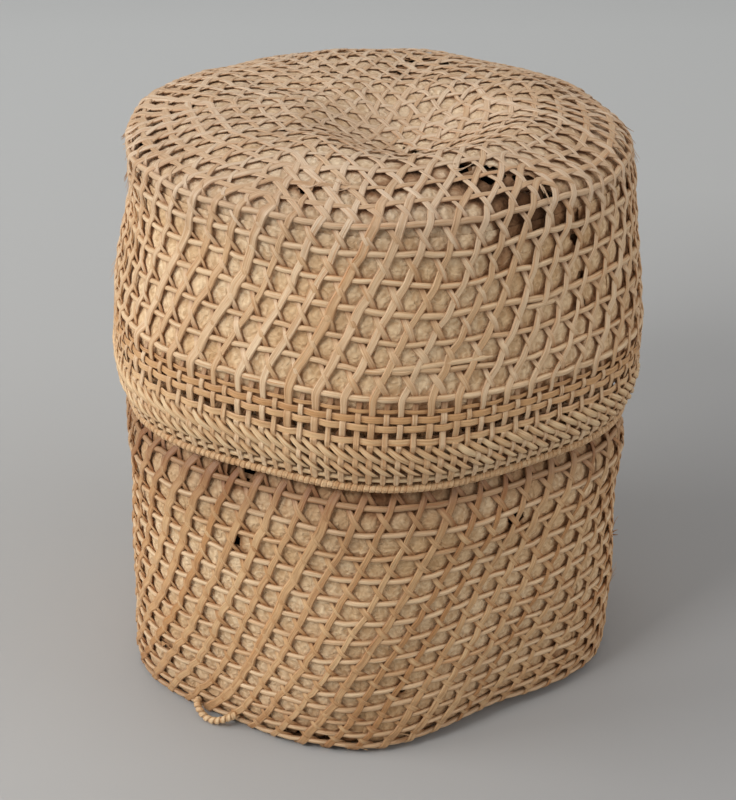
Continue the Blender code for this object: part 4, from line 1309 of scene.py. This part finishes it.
def lengths_of(vectors):
    return np.linalg.norm(vectors, axis=1)[:, None]


def tie_loop():
    core, wrap = Guides(), Guides()
    share = np.linspace(0.0, 1.0, 121)
    out = np.sin(math.pi * share)
    azimuth = np.radians(LOOP_MIDDLE - LOOP_SPAN * np.cos(math.pi * share))
    line = turned(azimuth, LOOP_RADIUS + LOOP_BOW * out, LOOP_HEIGHT - LOOP_DROP * out**3, settle_basket)
    along = np.gradient(line, axis=0)
    along /= lengths_of(along)
    side = np.cross(along, np.array([0.0, 0.0, 1.0]))
    side /= lengths_of(side)
    over = np.cross(side, along)
    core.add(line, over, 0.0014, 0.8)
    turns = round(float(lengths_of(np.diff(line, axis=0)).sum()) / LOOP_PITCH)
    at = np.linspace(0.02, 0.98, turns * LOOP_SAMPLES)
    roll = np.linspace(0, 2 * math.pi * turns, turns * LOOP_SAMPLES)[:, None]
    middle, across, above = (
        np.stack([np.interp(at, share, part[:, axis]) for axis in range(3)], axis=1)
        for part in (line, side, over)
    )
    normal = across * np.cos(roll) + above * np.sin(roll)
    wrap.add(middle + normal * 0.0016, normal, 0.0013, 0.35)
    nodes = ["base_cord_loop"]
    swept("tie_loop_wrapping", wrap, pale_cane, "basket", nodes, 6, 0.32, 0.7)
    swept("tie_loop_core", core, wrap_cane, "basket", (), 8, 1.0, 1.0)


tie_loop()


# Stage, lights and camera

WORLD_STRENGTH = 0.40


def plain(name, shade):
    """Paper with painted light that lightens it backwards and painted shadow that darkens it to the right;
    far off it glows, for the camera, like the world behind it.
    """
    shader = Shader(name, 0.9, 0.1)
    place, rightward, backward = shader.place(), shader.axis(0), shader.axis(1)
    # Painted shadow to the right of the basket, and painted light further back.
    side = shader.ramp(rightward, 0.0, 0.45) * shader.ramp(backward, 0.7, 0.1)
    base = shader.blend(shader.ramp(backward, 0.1, 1.2), shade, colour(204, 205, 204))
    base = shader.blend(side, base, colour(152, 151, 152))
    far = shader.ramp(shader.node("ShaderNodeVectorMath", {"operation": "LENGTH"}, {0: place}, 1), 1.7, 2.6)
    far = far * shader.node("ShaderNodeLightPath")
    black, horizon = (0.0, 0.0, 0.0, 1.0), (WORLD_STRENGTH, WORLD_STRENGTH, WORLD_STRENGTH, 1.0)
    shader.surface.inputs["Emission Strength"].default_value = 1.0
    for title, wire in (("Base Color", (base, black)), ("Emission Color", (black, horizon))):
        shader.tree.links.new(shader.blend(far, *wire).socket, shader.surface.inputs[title])
    return shader.material


def make_stage():
    """A floor that curves up into a backdrop behind the basket."""
    work = bmesh.new()
    flat_end, bend = 2.6, 1.2
    line = [(-4.0, 0.0), (flat_end, 0.0)]
    for step in range(1, 13):
        turn = math.radians(90) * step / 12
        line.append((flat_end + bend * math.sin(turn), bend * (1 - math.cos(turn))))
    line.append((flat_end + bend, 6.0))
    rows = [[work.verts.new((x, y, z)) for y, z in line] for x in (-5.0, 5.0)]
    for index in range(len(line) - 1):
        work.faces.new((rows[0][index], rows[1][index], rows[1][index + 1], rows[0][index + 1]))
    mesh = bpy.data.meshes.new("floor")
    bmesh.ops.recalc_face_normals(work, faces=work.faces)
    work.to_mesh(mesh)
    work.free()
    mesh.shade_smooth()
    mesh.materials.append(plain("floor_paper", colour(178, 177, 175)))
    floor = bpy.data.objects.new("floor", mesh)
    bpy.context.scene.collection.objects.link(floor)


def aimed(name, data, place, target):
    """A lamp or the camera at one place, looking at another."""
    item = bpy.data.objects.new(name, data)
    item.location = place
    item.rotation_mode = "QUATERNION"
    item.rotation_quaternion = (Vector(target) - item.location).to_track_quat("-Z", "Y")
    bpy.context.scene.collection.objects.link(item)
    return item


def make_camera():
    camera = bpy.data.cameras.new("camera")
    camera.lens, camera.sensor_width = 90.9, 36.0
    camera.shift_x = -0.00575
    camera.clip_start, camera.clip_end = 0.01, 50.0
    bpy.context.scene.camera = aimed("camera", camera, (0.0, -1.0, 0.6401), (0.0, 0.0, 0.1400))


make_stage()
for name, place, size, power in (
    ("overhead", (0.0, -0.3, 2.2), 2.4, 4.8),
    ("key", (-1.1, -1.2, 1.5), 0.6, 15.0),
    ("left", (-1.9, -0.3, 0.9), 1.0, 17),
    ("right", (1.9, -0.6, 0.9), 1.2, 8.4),
    ("back", (-0.3, 1.2, 1.8), 1.0, 5),
):
    lamp = bpy.data.lights.new(name, "AREA")
    lamp.shape = "RECTANGLE"
    lamp.size = lamp.size_y = size
    lamp.energy = power
    aimed(name, lamp, place, (0.0, 0.0, 0.15))
make_camera()

world = bpy.data.worlds.new("studio")
bpy.context.scene.world = world
world.use_nodes = True
world.node_tree.nodes["Background"].inputs["Color"].default_value = (1.0, 1.0, 1.0, 1.0)
world.node_tree.nodes["Background"].inputs["Strength"].default_value = WORLD_STRENGTH
bpy.context.scene.view_settings.view_transform = "Standard"
